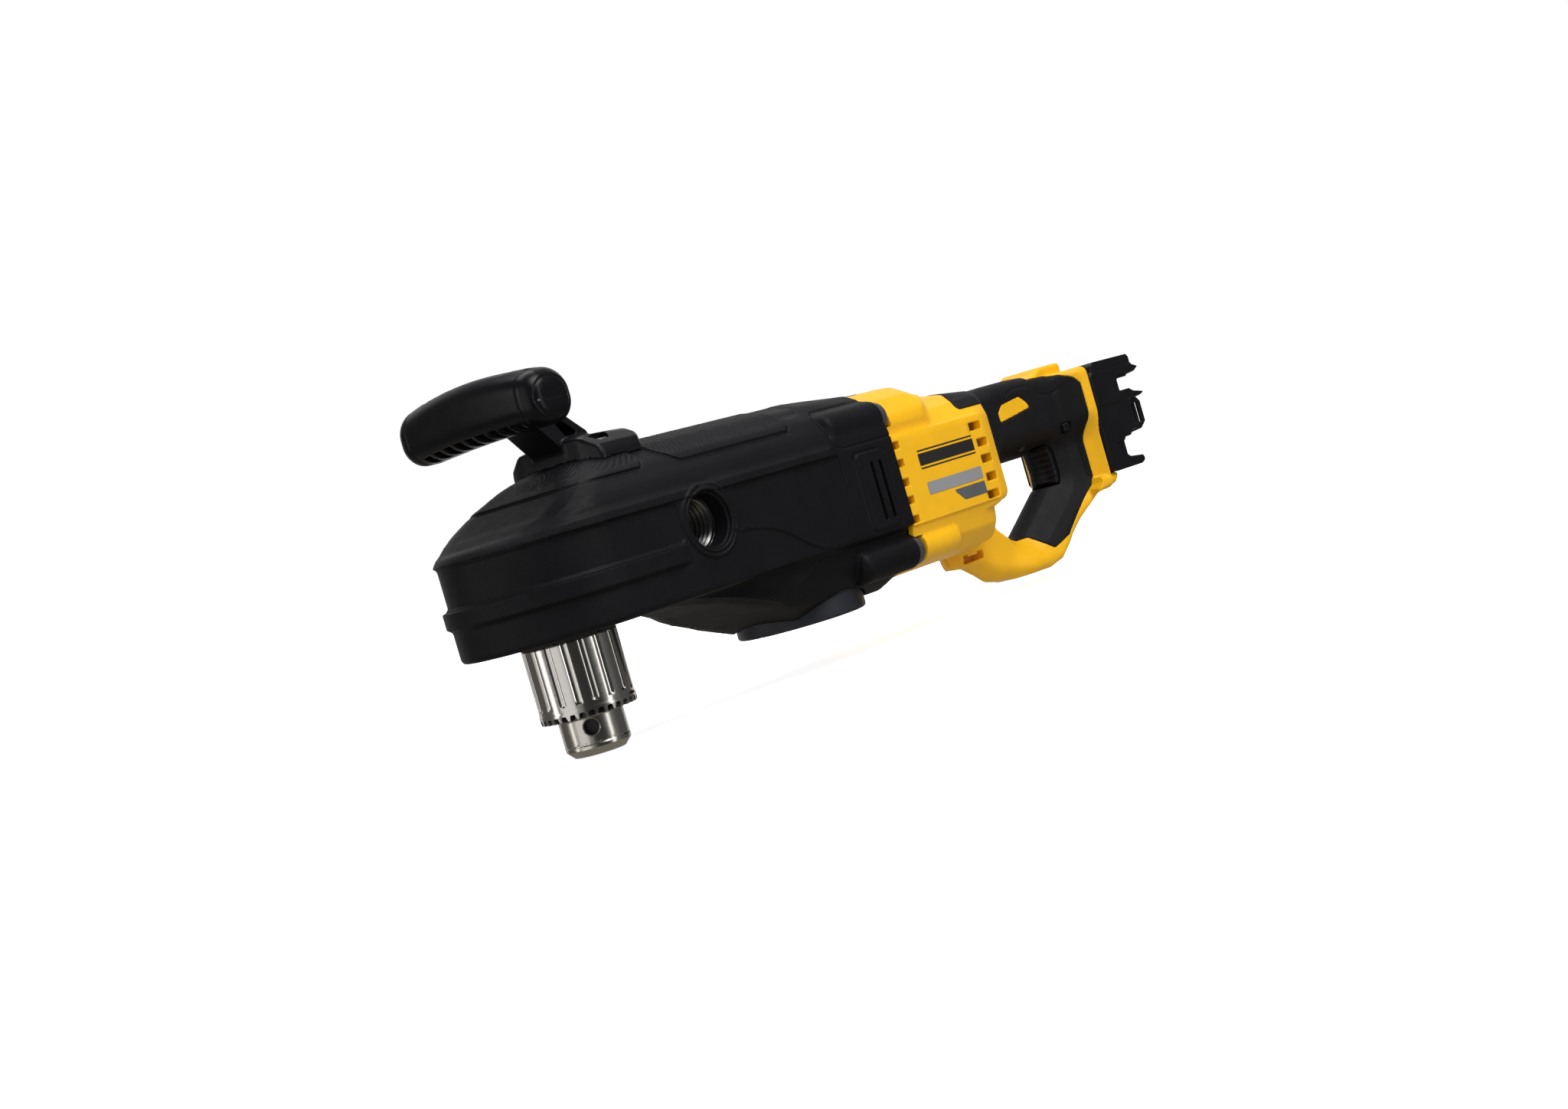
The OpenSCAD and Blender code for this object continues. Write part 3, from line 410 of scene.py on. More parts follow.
def boot(x, y, z):
    ay, rho = np.abs(y), from_middle(x, y)
    block, belly = head_smooth(x, y, z), belly_smooth(x, y, z)
    base = either(block - head_relief(x, y, z), belly, 6)
    # never thinner than the gear case inside it needs
    under = deepest(poly(x, z, BELLY_SIDE), poly(y, z, BELLY), poly(x, y, BELLY_PLAN))
    over = deepest(poly(x, z, SIDE), poly(rho, z, CROWN), rho - HEAD_R)
    base = either(either(base, under + 1.9, 2.5), over + 2.0, 1.5)
    d = either(base, bosses(x, y, z, 8.7, 157.5, 205), 1.4)
    d = both(d, x - 199.9, 1.0)
    # hollow inside, open at the back
    inner = either(block, belly, 6) + WALL
    inner = both(inner, 57.6 - z)
    opening = both(rbox(y, z, -40.5, 40.5, 50, 126, 12), 190 - x)
    d = cut(d, np.minimum(inner, both(opening, block + WALL)), 0.5)
    # chuck opening, speed disc pocket, side sockets, bolts, air slots
    d = cut(d, both(np.hypot(x, y) - 27.3, z - 60), 0.8)
    d = cut(d, both(np.hypot(x - KNOB_X, y) - KNOB_R - 0.7, z - 36.6), 0.9)
    socket = np.hypot(x - SOCKET_X, z - SOCKET_Z)
    d = cut(d, both(socket - 13.5, 24 - ay), 1.2)
    # a rubber collar lines the socket's mouth, in front of the threaded insert
    thickness = 0.55 + 0.5 * step(ay, 45, 39)
    mouth = both(np.abs(socket - 13.05) - thickness, np.abs(ay - 42.9) - 4.3, 0.3)
    d = np.minimum(d, mouth)
    d = cut(d, both(np.hypot(x - BOLT_X, ay - BOLT_Y) - 6.4, 110 - z), 0.3)
    for x0 in (178.0, 184.6):
        d = cut(d, both(rbox(x, z, x0, x0 + 2.0, 61, 90.5, 0.9), 44.5 - ay), 0.4)
    for zc in (BOSS_LOW, BOSS_TOP):
        d = cut(d, both(np.hypot(ay - BOSS_Y, z - zc) - 2.7, 160 - x))
    return d


settle(skin("boot", boot, (-54, -54, 20), (204, 54, 138), 0.7, RUBBER, adapt=0.025), "tool",
       ["head_boot"])


# ---------------------------------------------------------------- speed disc, sockets, caps


def disc_shape(x, y, z):
    r = np.hypot(x - KNOB_X, y)
    d = both(rbox(r, z, -KNOB_R, KNOB_R, 22.8, 36, 1.6), 22.8 - z)
    # a finger bar across two hollows, with a pointer notch at its front end
    hollow = both(r - 27, np.abs(np.abs(y) - 21) - 14.5, 2.5)
    d = cut(d, both(hollow, z - 29.5, 1.5), 1.0)
    d = cut(d, both(rbox(x, y, KNOB_X - 31.5, KNOB_X - 27.5, -1.2, 1.2, 1.0), z - 23.8), 0.2)
    stem = deepest(r - 8, 35 - z, z - 45.4)
    cam_disc = deepest(np.hypot(x - KNOB_X - 1.2, y) - 9.7, 40.6 - z, z - 45.4)
    return np.minimum(d, np.minimum(stem, cam_disc))


settle(skin("speed_disc", disc_shape, (117, -35, 21), (187, 35, 47), 0.6, DISC), "speed_knob",
       ["speed_knob"])


def polar(name, radius, heights, sides, material, place=None):
    """A closed loop of rings round Z at radius(angle, z, ring number), one ring for each height,
    which run up the outside and down the inside. place moves the points to where they belong."""
    a = np.linspace(0, math.tau, sides, endpoint=False)
    points = []
    for k, z in enumerate(heights):
        r = radius(a, z, k)
        points += list(zip(r * np.cos(a), r * np.sin(a), np.full(sides, float(z))))
    faces = []
    for k in range(len(heights)):
        low, high = k * sides, (k + 1) % len(heights) * sides
        for i in range(sides):
            j = (i + 1) % sides
            faces.append((low + i, low + j, high + j, high + i))
    points = np.array(points)
    return new_object(name, place(points) if place else points, faces, material)


def smooth_by_angle(ob, degrees):
    """Sharp edges where faces meet at more than this, so that flat faces stay flat."""
    with bpy.context.temp_override(object=ob, active_object=ob, selected_editable_objects=[ob]):
        bpy.ops.object.shade_smooth_by_angle(angle=math.radians(degrees))
    return ob


THREAD_PITCH, CREST, ROOT = 2.9, 10.75, 12.1


def socket_liner(side):
    """A steel insert with a real helical thread, its mouth countersunk, set back in its socket."""
    levels = np.linspace(38.2, 24.6, 80)

    outer = [(24.2, 12.6), (24.2, 13.3), (38.5, 13.3), (38.5, 12.5)]
    heights = list(levels) + [z for z, _ in outer]

    def ring(a, z, k):
        if k >= len(levels):
            return np.full(len(a), outer[k - len(levels)][1])
        phase = (z / THREAD_PITCH - a / math.tau) % 1.0
        v = np.clip(np.abs(phase - 0.5) * 2.4 - 0.12, 0, 1)
        r = CREST + (ROOT - CREST) * v
        lead = step(z, 36.6, 38.0)
        return r * (1 - lead) + 12.2 * lead

    def place(p):
        return np.stack([SOCKET_X + p[:, 0], side * p[:, 2], SOCKET_Z + p[:, 1] * -side], 1)

    return polar("socket_thread_" + SIDES[side], ring, heights, 96, SHADED_THREAD, place)


for side, word in SIDES.items():
    settle(socket_liner(side), "tool", ["side_socket_" + word])


def hexagon(u, v, half):
    """Distance outside a hexagon recess, half its width across flats."""
    return deepest(*(np.abs(u * math.cos(t) + v * math.sin(t))
                     for t in (0, math.pi / 3, 2 * math.pi / 3))) - half


def cap_shape(x, y, z):
    ay = np.abs(y)
    d = None
    for zc in (BOSS_LOW, BOSS_TOP):
        r = np.hypot(ay - BOSS_Y, z - zc)
        e = both(both(r - 7.9, x - 206.4, 3.2), 199.4 - x, 0.4)
        e = cut(e, both(hexagon(ay - BOSS_Y, z - zc, 2.5), 203.2 - x), 0.4)
        e = np.minimum(e, deepest(r - 2.45, 169 - x, x - 201))
        d = e if d is None else np.minimum(d, e)
    return d


settle(skin("case_caps", cap_shape, (168, -48, 32), (208, 48, 121), 0.6, BOLT, adapt=0.02), "tool",
       ["case_bolts"])

# ---------------------------------------------------------------- chuck

SLEEVE_R, TEETH, TOOTH_ROOT, FLUTES = 22.1, 32, 18.4, 18


def sleeve_mesh():
    """The fluted sleeve: its key teeth are cut into a lip that flares below the flutes."""
    outer = [17.9, 18.3, 18.9, 19.6, 20.4, 20.55, 21.5, 21.8, 22.3, 22.9, 23.5, 24.2, 24.6, 25.0,
             25.4, 26.2, 27.4, 29, 33, 38, 43, 48, 51, 52.2, 52.9, 53.3, 53.5]
    inner = [(53.5, 20.6), (53.3, 20.0), (38, 19.8), (37.8, 20.2), (30.4, 20.2), (30.2, 17.8),
             (21.6, 17.8), (18.3, 17.8), (17.9, 18.0)]
    heights = outer + [z for z, _ in inner]

    def radius(a, z, k):
        if k >= len(outer):
            return np.full(len(a), inner[k - len(outer)][1])
        if z < 21.8:
            body = np.interp(z, [17.9, 18.3, 21.5, 21.8], [21.9, 22.3, 22.5, 22.45])
        else:
            body = np.interp(z, [21.8, 22.3, 23.5, 52.2, 53.0, 53.5],
                             [22.45, 22.2, SLEEVE_R, SLEEVE_R, SLEEVE_R - 0.35, SLEEVE_R - 1.0])
        r = np.full(len(a), body)
        # flutes: shallow scoops with a rounded lower end
        if z > 24.2:
            u = (a / math.tau * FLUTES + 0.5) % 1.0 - 0.5
            arc = u * math.tau * SLEEVE_R / FLUTES
            depth = 0.7 * np.sqrt(np.clip(1 - (arc / 1.5) ** 2, 0, 1))
            r -= depth * step(z, 24.2, 25.4)
        # key teeth: tapered gaps from the lower edge
        if z < 20.5:
            u = (a / math.tau * TEETH) % 1.0 - 0.5
            arc = np.abs(u) * math.tau * SLEEVE_R / TEETH
            half = np.interp(z, [17.9, 20.4], [1.5, 0.8])
            r -= step(arc, half + 0.16, half - 0.16) * (body - TOOTH_ROOT)
        return r

    ob = polar("sleeve", radius, heights, TEETH * 18, BRIGHT)
    # painted shade: the gaps between the key teeth take the dark steel finish, which stands for the
    # shade deep inside them
    ob.data.materials.append(DARK_STEEL)
    for face in ob.data.polygons:
        r = math.hypot(face.center.x, face.center.y) / MM
        if face.center.z / MM < 20.52 and 18.1 < r < 21.9:
            face.material_index = 1
    return ob


settle(smooth_by_angle(sleeve_mesh(), 38), "sleeve", ["chuck_sleeve"])

JAW_AT = [math.radians(a) for a in (284, 44, 164)]
JAW_TILT = math.radians(15)
BIT_R = 6.75
KEY_HOLE_Z = 12.8


def turned(x, y, a):
    """Distances along and across the bearing a."""
    c, s = math.cos(a), math.sin(a)
    return x * c + y * s, -x * s + y * c


def chuck_shape(x, y, z):
    r = np.hypot(x, y)
    outer = [(0, 0), (12.0, 0), (15.15, 3.3), (15.15, 17.2), (17.4, 17.8), (17.4, 29.9), (13.7, 29.9),
             (13.7, 38.1), (19.4, 38.1), (19.4, 52.9), (18.6, 53.7), (0, 53.7)]
    outer += [(-u, v) for u, v in reversed(outer) if u]
    d = rpoly(r, z, outer, 0.25)
    bore = np.where(z < 6.5, BIT_R, BIT_R + 0.25) + np.clip(0.7 - z, 0, 0.7) * 0.9
    bore = np.where(z > 41.7, 9.0, bore)
    d = cut(d, r - bore)
    for a in JAW_AT:
        u, v = turned(x, y, a)
        across = np.hypot(u * math.cos(JAW_TILT) - z * math.sin(JAW_TILT), v)
        along = u * math.sin(JAW_TILT) + z * math.cos(JAW_TILT)
        d = cut(d, both(across - 4.78, 2 - along))
        u, v = turned(x, y, a + math.radians(60))
        d = cut(d, both(np.hypot(v, z - KEY_HOLE_Z) - 3.6, 9.5 - u), 0.35)
    # a fine turned line round the nose
    return d + 0.22 * band(z, 5.0, 5.7, 0.2, 0.2)


settle(skin("chuck_core", chuck_shape, (-20, -20, -1), (20, 20, 54.5), 0.36, TURNED, adapt=0.006),
       "spindle", ["chuck_body"])


def key_hole_shade_shape(x, y, z):
    """Dark steel cups inside the three key holes: painted shade for the dark depth of the holes."""
    d = None
    for a in JAW_AT:
        u, v = turned(x, y, a + math.pi / 3)
        r = np.hypot(v, z - KEY_HOLE_Z)
        e = both(r - 3.7, np.abs(u - 12) - 2.5, 0.2)
        e = cut(e, both(r - 3.25, 10.2 - u), 0.15)
        d = e if d is None else np.minimum(d, e)
    return d


# painted shade: dark cups that darken the inside of the key holes
settle(skin("key_hole_painted_shade", key_hole_shade_shape, (-16, -16, 8), (16, 16, 18), 0.3, DARK_STEEL), "spindle", ())

# ---------------------------------------------------------------- motor housing and handle

MOTOR_SIDE = [(190, 26), (272, 26), (279.5, 33), (283, 50.5), (292, 51.5), (300, 56), (303, 66),
              (306, 78), (308.6, 90), (308.6, 108), (296, 113.6), (270, 118.8), (258, 127), (190, 127)]
MOTOR = [(24, 31), (34, 34), (42, 42), (45.2, 52), (45.2, 98.6), (36.6, 108.4), (28.5, 113.8),
         (14, 117.6)]
COLLAR_SIDE = [(190, 60), (267.6, 60), (267.6, 116.2), (261, 118), (248, 125.4), (241, 126.5),
               (190, 126.5)]
COLLAR = [(24, 60), (40, 66), (40, 99), (45.2, 104), (43.8, 110.5), (36.5, 119.3), (25.6, 125.2),
          (12, 126.6)]
MOTOR_PLAN = [(190, -56), (276, -56), (283, -46), (291, -41), (298, -33), (303.5, -25), (308.6, -18)]
MOTOR_Z = 76
SEAM = 0.04  # each half stops this far short of the middle
HANDLE = [(274, 31), (276, 23), (288, 20.3), (297, 15), (308, 8.6), (322, 6), (346, 5.8), (356, 8.2),
          (366, 14.5), (372, 18.9), (402, 37.3), (414, 40), (414, 109), (395, 109), (375, 111.3),
          (358, 112.3), (332, 112.3), (317, 110.8), (303, 107.8), (290, 107), (274, 100)]
HOLE = [(306, 68.8), (304.5, 58), (307, 47), (310.7, 42), (313.5, 35.5), (318.6, 31), (326, 27.4),
        (338, 27.4), (378, 52), (378, 68.8)]
GRIP_SIDE = [(316, 125), (316, 104), (313.5, 95), (309, 76), (306, 62), (322, 50), (328.5, 30),
             (330, 25.4), (341, 25.2), (346, 20), (351, 15.5), (366, 20), (397.5, 42.2), (399.6, 47),
             (399.6, 100), (397.5, 104), (393, 107.4), (386, 109.2), (370, 109.6), (364, 125)]
ISLAND = [(332, 90.5), (332, 96), (337, 100), (354, 102), (358, 99.5), (363, 94.5)]
PANEL = [(150, 53.5), (277, 53.5), (283, 62), (283, 92), (277, 99.5), (150, 99.5)]
FRONT_SLOTS = (56.6, 66.4, 75.6, 85.5, 94.8)
REAR_SLOTS = ((56.6, 275.4), (65.7, 277.6), (75.4, 277.8), (84.2, 277.6), (93.3, 275.4))
SCREWS = [(290, 35.5, 12), (330, 16, 10), (352, 74, 15), (322, 104.5, 11)]


def motor_core(x, y, z):
    d = both(rpoly(x, z, MOTOR_SIDE, 4), rpoly(y, z, doubled(MOTOR), 4), 6)
    back = x + 15 * step(z, 52.6, 49.4)  # the cup overhangs the body below it
    return both(d, rpoly(back, y, mirrored_plan(MOTOR_PLAN), 6), 6)


def collar(x, y, z):
    back = x + 30 * np.clip(y / 44, -1.1, 1.1) ** 2
    return both(both(rpoly(back, z, ccw(COLLAR_SIDE), 6), rpoly(y, z, doubled(COLLAR), 7), 3), 190 - x)


def motor_body(x, y, z):
    return either(motor_core(x, y, z), collar(x, y, z), 3)


def handle_body(x, y, z):
    ay = np.abs(y)
    hole = rpoly(x, z, ccw(HOLE), 5)
    near = np.interp(hole, [0, 2, 6, 12, 20, 30], [3.5, 6.5, 10, 14.5, 18, 24])
    near = np.maximum(near, np.interp(x, [393, 397, 400, 403, 406], [0, 18, 21, 24.5, 28.5]) * (z > 30))
    leg = np.interp(x, [290, 300, 312, 330], [8, 8.5, 10.5, 12.5])
    lower = leg + (near - leg) * step(x, 316, 334)
    upper = np.interp(x, [300, 314, 330, 386, 390, 396, 400, 406],
                      [15, 16.5, 18, 18, 18.6, 26, 30, 31.4])
    rise = step(z, np.interp(x, [310, 330], [42, 67]), np.interp(x, [310, 330], [60, 84]))
    half = lower + (upper - lower) * rise
    d = both(rpoly(x, z, HANDLE, 4), ay - half, 8 - 3.5 * step(x, 380, 396))
    d = both(d, x - 406, 0.5)
    return both(d, -hole, 2.5 + 4.5 * step(z, 64, 74))


def tail_blocks(x, y, z):
    """The frame round the strap slot, the boss on the pod and the chin under the receiver."""
    ay = np.abs(y)
    frame_side = [(278, 30), (278.6, 23.5), (280, 21.6), (300, 20.6), (306, 24.0), (309, 34), (300, 44),
                  (283, 44)]
    d = both(rpoly(x, z, frame_side, 1.2), ay - 6.8, 1.0)
    boss_side = [(376, 100), (412, 100), (412, 114.8), (386.5, 114.8), (378, 111.2)]
    boss = both(both(rpoly(x, z, boss_side, 1.5), ay - 14, 2.5), x - 406, 0.5)
    chin_side = [(394, 37.2), (405, 38.2), (412, 39.6), (415, 42.6), (415.4, 45.4), (394, 45.4)]
    chin = both(rpoly(x, z, chin_side, 1.0), ay - 27.5, 3)
    return np.minimum(d, chin), boss


def motor_relief(x, y, z):
    """The flat raised panel on each side, which carries the labels."""
    return step(np.abs(y), 36, 42) * 1.5 * step(rpoly(x, z, PANEL, 3), 0.3, -0.4)


def fan_cap(x, y, z):
    """The part of the motor's top and rear that the soft cover wraps."""
    ay = np.abs(y)
    front = np.interp(ay, [0, 14, 26, 38, 42], [284, 281.5, 275, 269, 267.5])
    return both(front - x, 103.6 - z, 2.5)


def housing(x, y, z, screws):
    ay = np.abs(y)
    body = motor_body(x, y, z)
    shell = body - motor_relief(x, y, z)
    handle = handle_body(x, y, z)
    blocks, boss = tail_blocks(x, y, z)
    d = either(shell, handle, 5)
    d = either(d, blocks, 1.5)
    d = either(d, boss, 1.0)
    # lower bolt bosses carried on from the boot
    r = np.hypot(ay - BOSS_Y + 0.6, z - BOSS_LOW - 0.6)
    d = either(d, both(both(r - 8.2, x - 240, 6.5), 190 - x), 1.2)
    d = both(d, 200.5 - x, 0.6)
    # hollow inside, seats for the motor, the way for the leads
    hollow = body + WALL
    from_motor = np.hypot(y, z - MOTOR_Z)
    ring = np.minimum(np.maximum(np.abs(x - 240) - 18, 0), np.abs(x - 279.5) - 3.5)
    bore = np.where(x < 262, from_motor - 31.0, from_motor - 9.0)
    slack = np.where(x < 262, np.minimum(38 - ay, z - 45), 50.0)
    d = cut(d, cut(hollow, deepest(ring, -bore, -slack)))
    d = cut(d, np.maximum(from_motor - 30, x - 206))
    d = cut(d, np.maximum(rbox(x, z, 285, 399, 79, 99, 2), ay - 11))
    d = cut(d, np.maximum(rbox(x, z, 397.8, 420, 46, 103, 2), ay - 15))
    d = cut(d, rbox(x, z, 366, 393.5, 44.5, 76, 1))
    d = cut(d, np.maximum(rbox(x, z, 366, 400, 45.8, 74.2, 1), ay - 12.0))
    d = cut(d, rbox(x, z, 382.5, 395.5, 72, 84, 1.2))
    # air slots, the strap slot, and room for the bolt caps
    for zc in FRONT_SLOTS:
        d = cut(d, np.maximum(rbox(x, z, 190, 206.4, zc - 1.9, zc + 1.9, 0.7), 38.5 - ay), 0.35)
    for zc, x1 in REAR_SLOTS:
        ramp = 47.2 - 14 * np.clip((x - 265.0) / 10.5, 0, 1)
        x0 = 265.4 if x1 < 277 else 268.6
        d = cut(d, np.maximum(rbox(x, z, x0, x1, zc - 2.1, zc + 2.1, 0.7), ramp - ay), 0.35)
    for zc in (BOSS_LOW, BOSS_TOP):
        d = cut(d, np.maximum(np.hypot(ay - BOSS_Y, z - zc) - 8.5, x - 207.4), 0.4)
    strap = rbox(x, z, 281, 297.5, 23.2, 27.6, 0.8)
    rib = both(np.abs(x - 289) - 4, 26.4 - z)
    d = cut(d, np.maximum(cut(strap, rib), ay - 20), 0.4)
    # the layers that the soft grip takes
    soft = both(grip_region(x, y, z), -(handle + 2.5))
    d = cut(d, both(soft, 0.3 - shell), 0.25)
    d = cut(d, both(both(fan_cap(x, y, z), -(shell + 1.3)), shell - 1.5), 0.25)
    for sx, sz, depth in SCREWS:
        r = np.hypot(x - sx, z - sz)
        d = cut(d, np.maximum(r - 1.5, -depth + 2 - y))
        if screws:
            d = cut(d, np.maximum(r - 3.3, depth - 3 - y), 0.3)
    return d


def grip_region(x, y, z):
    flat = rpoly(x, z, GRIP_SIDE, 2.0)
    return cut(flat, both(rpoly(x, z, ccw(ISLAND), 1.5), 13.5 - np.abs(y)))


def soft_grip(x, y, z, screws):
    ay = np.abs(y)
    handle = handle_body(x, y, z)
    # a shallow thumb rest outlined on each side of the neck, and a crease at the pod
    rest = line(x, z, [(343, 104.5), (352, 107), (366, 106), (373, 100), (384, 97.5), (391, 100)])
    o = 0.35 - 0.35 * step(rest, 1.3, 0.2) * step(ay, 8, 13)
    d = both(handle - o, grip_region(x, y, z) + 0.06, 0.7)
    round_trigger = rbox(x, z, 366, 393.3, 44.7, 75.8, 1)
    d = cut(d, cut(handle + 2.44, round_trigger))
    shell = motor_body(x, y, z) - motor_relief(x, y, z)
    d = cut(d, shell - 0.36, 0.5)
    cap = both(both(shell - 0.5, fan_cap(x, y, z) + 0.06, 0.7), x - 316)
    cap = cut(cap, shell + 1.24)
    cap = cut(cap, handle + 1.2)
    d = either(d, cap, 3)
    d = cut(d, np.maximum(rbox(x, z, 366, 400, 48.1, 71.9, 1), ay - 9.4), 0.8)
    d = cut(d, rbox(x, z, 385.85, 392.15, 75.35, 80.65, 1.2), 0.3)
    if screws:
        for sx, sz, depth in SCREWS:
            d = cut(d, np.maximum(np.hypot(x - sx, z - sz) - 3.35, -y))
    return d


def half(shape, side):
    """One side of a shape, as if it lay towards +Y; only the right one shows screw heads."""
    def f(x, y, z):
        return both(shape(x, side * y, z, side > 0), SEAM - y, 0.35)

    return f


for side, word in SIDES.items():
    settle(skin("housing_shell_" + word, half(housing, side), (198, -0.7, 3), (417, 49, 129), 0.7,
                YELLOW, mirror=side < 0), "tool", ["housing_" + word])
    settle(skin("grip_cover_" + word, half(soft_grip, side), (266, -0.7, 12), (405, 45, 120), 0.6,
                SOFT, mirror=side < 0), "tool", ["grip_" + word])

# ---------------------------------------------------------------- bail handle

BAR_X, BAR_Z, BAR_HALF = -11.5, 159.2, 48.0
ARM = [(37, 140.6), (37, 130), (21, 130), (19.5, 133), (8, 146), (-6, 156.5), (-8, 163), (3, 165),
       (23, 152.5)]
ARM_POCKET = [(23, 140.2), (31.2, 140.4), (19.8, 149.8), (13.2, 154.2), (12.4, 152.8), (16.3, 150.3)]


def arm_bar(x, y, z):
    return both(rpoly(x, z, ccw(ARM), 1.5), np.abs(y) - 11, 1.4)


def bail_arm(x, y, z):
    pocket = both(rpoly(x, z, ccw(ARM_POCKET), 1.0), 3.4 - np.abs(y), 1.0)
    return cut(arm_bar(x, y, z), pocket, 0.5)


def bail_core(x, y, z):
    return both(np.hypot(x - BAR_X, z - 158.5) - 8, np.abs(y) - 39)


def bail_grip(x, y, z):
    ay = np.abs(y)
    t = np.clip(ay / BAR_HALF, 0, 1.1) ** 2
    half_x, half_z = 15.0 - 1.6 * t, 14.0 - 2.0 * t
    centre = BAR_Z + 0.6 - 3.4 * t
    u, v = x - BAR_X, z - centre
    a, b = np.abs(u) - half_x + 11.2, np.abs(v) - half_z + 10.8
    section = np.minimum(np.maximum(a, b), 0) + np.hypot(np.maximum(a, 0), np.maximum(b, 0)) - 11.0
    d = both(section, ay - BAR_HALF, 7.5)
    # end caps: an oval pad set in a shallow ring, with a fine parting line
    oval = np.hypot(u / 1.12, v) - 9.0
    cap = step(ay, 44.5, 46.5)
    d = d + cap * (0.28 * step(oval, 0.5, -0.3) + 0.3 * band(oval, -0.6, 0.9, 0.6, 0.7))
    d = d + cap * 0.25 * step(np.abs(v + 0.5), 0.45, 0.15) * step(oval, 0.6, -0.6)
    # parting line round the collar where the end cap meets the grip
    d = d + 0.3 * step(np.abs(ay - 38.5), 0.55, 0.2)
    # finger notches along the front lower edge
    for y0 in range(-32, 33, 8):
        d = cut(d, deepest(np.abs(y - y0) - 2.3, v + 10.2, u + 2.5, -1.9 - section), 0.6)
    # a plain shallow field on top, where the hand rests
    top = rbox(y, u, -31, 31, -7.5, 7.5, 5)
    d = d + 0.35 * step(top, 0.4, -0.4) * step(v, 3, 8)
    d = cut(d, arm_bar(x, y, z) - 0.25, 0.4)
    return cut(d, bail_core(x, y, z) - 0.05)


def bail_foot(x, y, z):
    ay = np.abs(y)
    side = [(19, 114), (52.3, 114), (52.3, 132.5), (49.5, 137.4), (24, 139.7), (19, 137.6)]
    across = [(31.7, 114), (31.7, 128.2), (29.6, 132.3), (20.4, 138.2), (12, 139.7)]
    plan = [(19, -20), (22.3, -31.7), (47, -31.7), (52.3, -25)]
    d = both(rpoly(x, z, side, 1.6), rpoly(y, z, doubled(across), 1.6), 1.8)
    d = both(d, rpoly(x, y, mirrored_plan(plan), 4), 1.8)
    lid = head_smooth(x, y, z) - head_relief(x, y, z)
    d = either(d, bail_arm(x, y, z), 2.0)
    d = cut(d, lid - 0.05)
    d = np.minimum(d, bail_core(x, y, z))
    d = cut(d, both(np.hypot(x - BOLT_X, ay - BOLT_Y) - 6.2, 131.4 - z), 0.7)
    return cut(d, np.maximum(np.hypot(x - BOLT_X, ay - BOLT_Y) - 4.2, 110 - z))


def bolts(x, y, z):
    ay = np.abs(y)
    r = np.hypot(x - BOLT_X, ay - BOLT_Y)
    head = both(both(r - 5.8, z - 135, 0.7), 131.45 - z)
    head = cut(head, np.maximum(hexagon(x - BOLT_X, ay - BOLT_Y, 2.6), 133 - z), 0.3)
    return np.minimum(head, deepest(r - 3, 113 - z, z - 131.5))


settle(skin("bail_grip_cover", bail_grip, (-28, -49, 142), (6, 49, 175), 0.55, GLASSY), "tool",
       ["bail_grip"])
settle(skin("bail_bracket_casting", bail_foot, (-21, -40, 114), (54, 40, 170), 0.55, NYLON), "tool",
       ["bail_bracket"])
settle(skin("bail_socket_bolts", bolts, (24, -27, 112), (38, 27, 137), 0.45, BOLT), "tool",
       ["bail_bolts"])

# ---------------------------------------------------------------- pack receiver, trigger, button

RECEIVER = [(406.2, 50), (409, 46.7), (413, 45.4), (438.5, 45.3), (441, 46.2), (442, 48), (440.8, 50.2),
            (428.6, 51.4), (426.4, 53), (426.4, 60.6), (428.6, 62.7), (434.3, 62.8), (437.4, 65.2),
            (442.5, 65.8), (442.5, 82.9), (453, 83.4), (458, 85.2), (447.5, 87.2), (444.3, 88.8),
            (444.3, 97.2), (453, 98.0), (458, 100.4), (451.6, 102.6), (451.8, 107), (450, 108.9),
            (415, 109.2), (411.5, 107.5), (410, 103.7), (406.2, 101.5)]


def receiver(x, y, z):
    ay = np.abs(y)
    half = 30.4 + 1.6 * step(z, 83.2, 84.4)
    d = both(rpoly(x, z, ccw(RECEIVER), 0.5), ay - half, 1.4)
    # the upper block stands in from the rails, and a ledge runs along its side
    d = cut(d, deepest(103.4 - z, 30.9 - ay, 400 - x), 0.5)
    d = cut(d, np.maximum(rbox(x, z, 433, 470, 66.0, 98.0, 1.0), 31.0 - ay), 0.4)
    d = cut(d, np.maximum(rbox(x, z, 415.5, 436, 52.0, 61.0, 1.0), 29.6 - ay), 0.4)
    d = cut(d, both(rbox(y, z, -25, 25, 40, 96.5, 2), 418 - x), 0.4)
    d = cut(d, np.maximum(rbox(y, z, -14, 14, 60, 90, 1), x - 425))
    for s in (-1, 1):
        slot = rbox(y, z, s * 28 - 4, s * 28 + 4, 89.2, 96.4, 0.8)
        d = cut(d, np.maximum(slot, 432 - x), 0.3)
    # moulding ribs on the back of the lower plate
    for y0 in (-20, -10, 0, 10, 20):
        gap = rbox(y, z, y0 - 3.6, y0 + 3.6, 47.4, 49.0, 0.4)
        d = cut(d, deepest(gap, 428 - x, x - 439), 0.2)
    return d


def terminals(x, y, z):
    ay = np.abs(y)
    side = [(418, 62), (456, 64.5), (461.4, 68), (461.4, 80.5), (457, 84.6), (418, 86)]
    d = both(rpoly(x, z, side, 1.2), ay - 24.5, 1.2)
    # the room the blades stand in, open at the back, with two slits through each side wall
    d = cut(d, both(rbox(x, z, 446, 459.8, 66.4, 82, 0.6), ay - 23.2), 0.3)
    for x0 in (450.6, 456.0):
        d = cut(d, rbox(x, z, x0 - 1.1, x0 + 1.1, 68.2, 80.4, 0.7), 0.2)
    for y0 in (-20.4, -13.6, -6.8, 0, 6.8, 13.6, 20.4):
        d = cut(d, deepest(np.abs(y - y0) - 0.9, np.abs(z - 74) - 7.6, 442.0 - x))
    return d


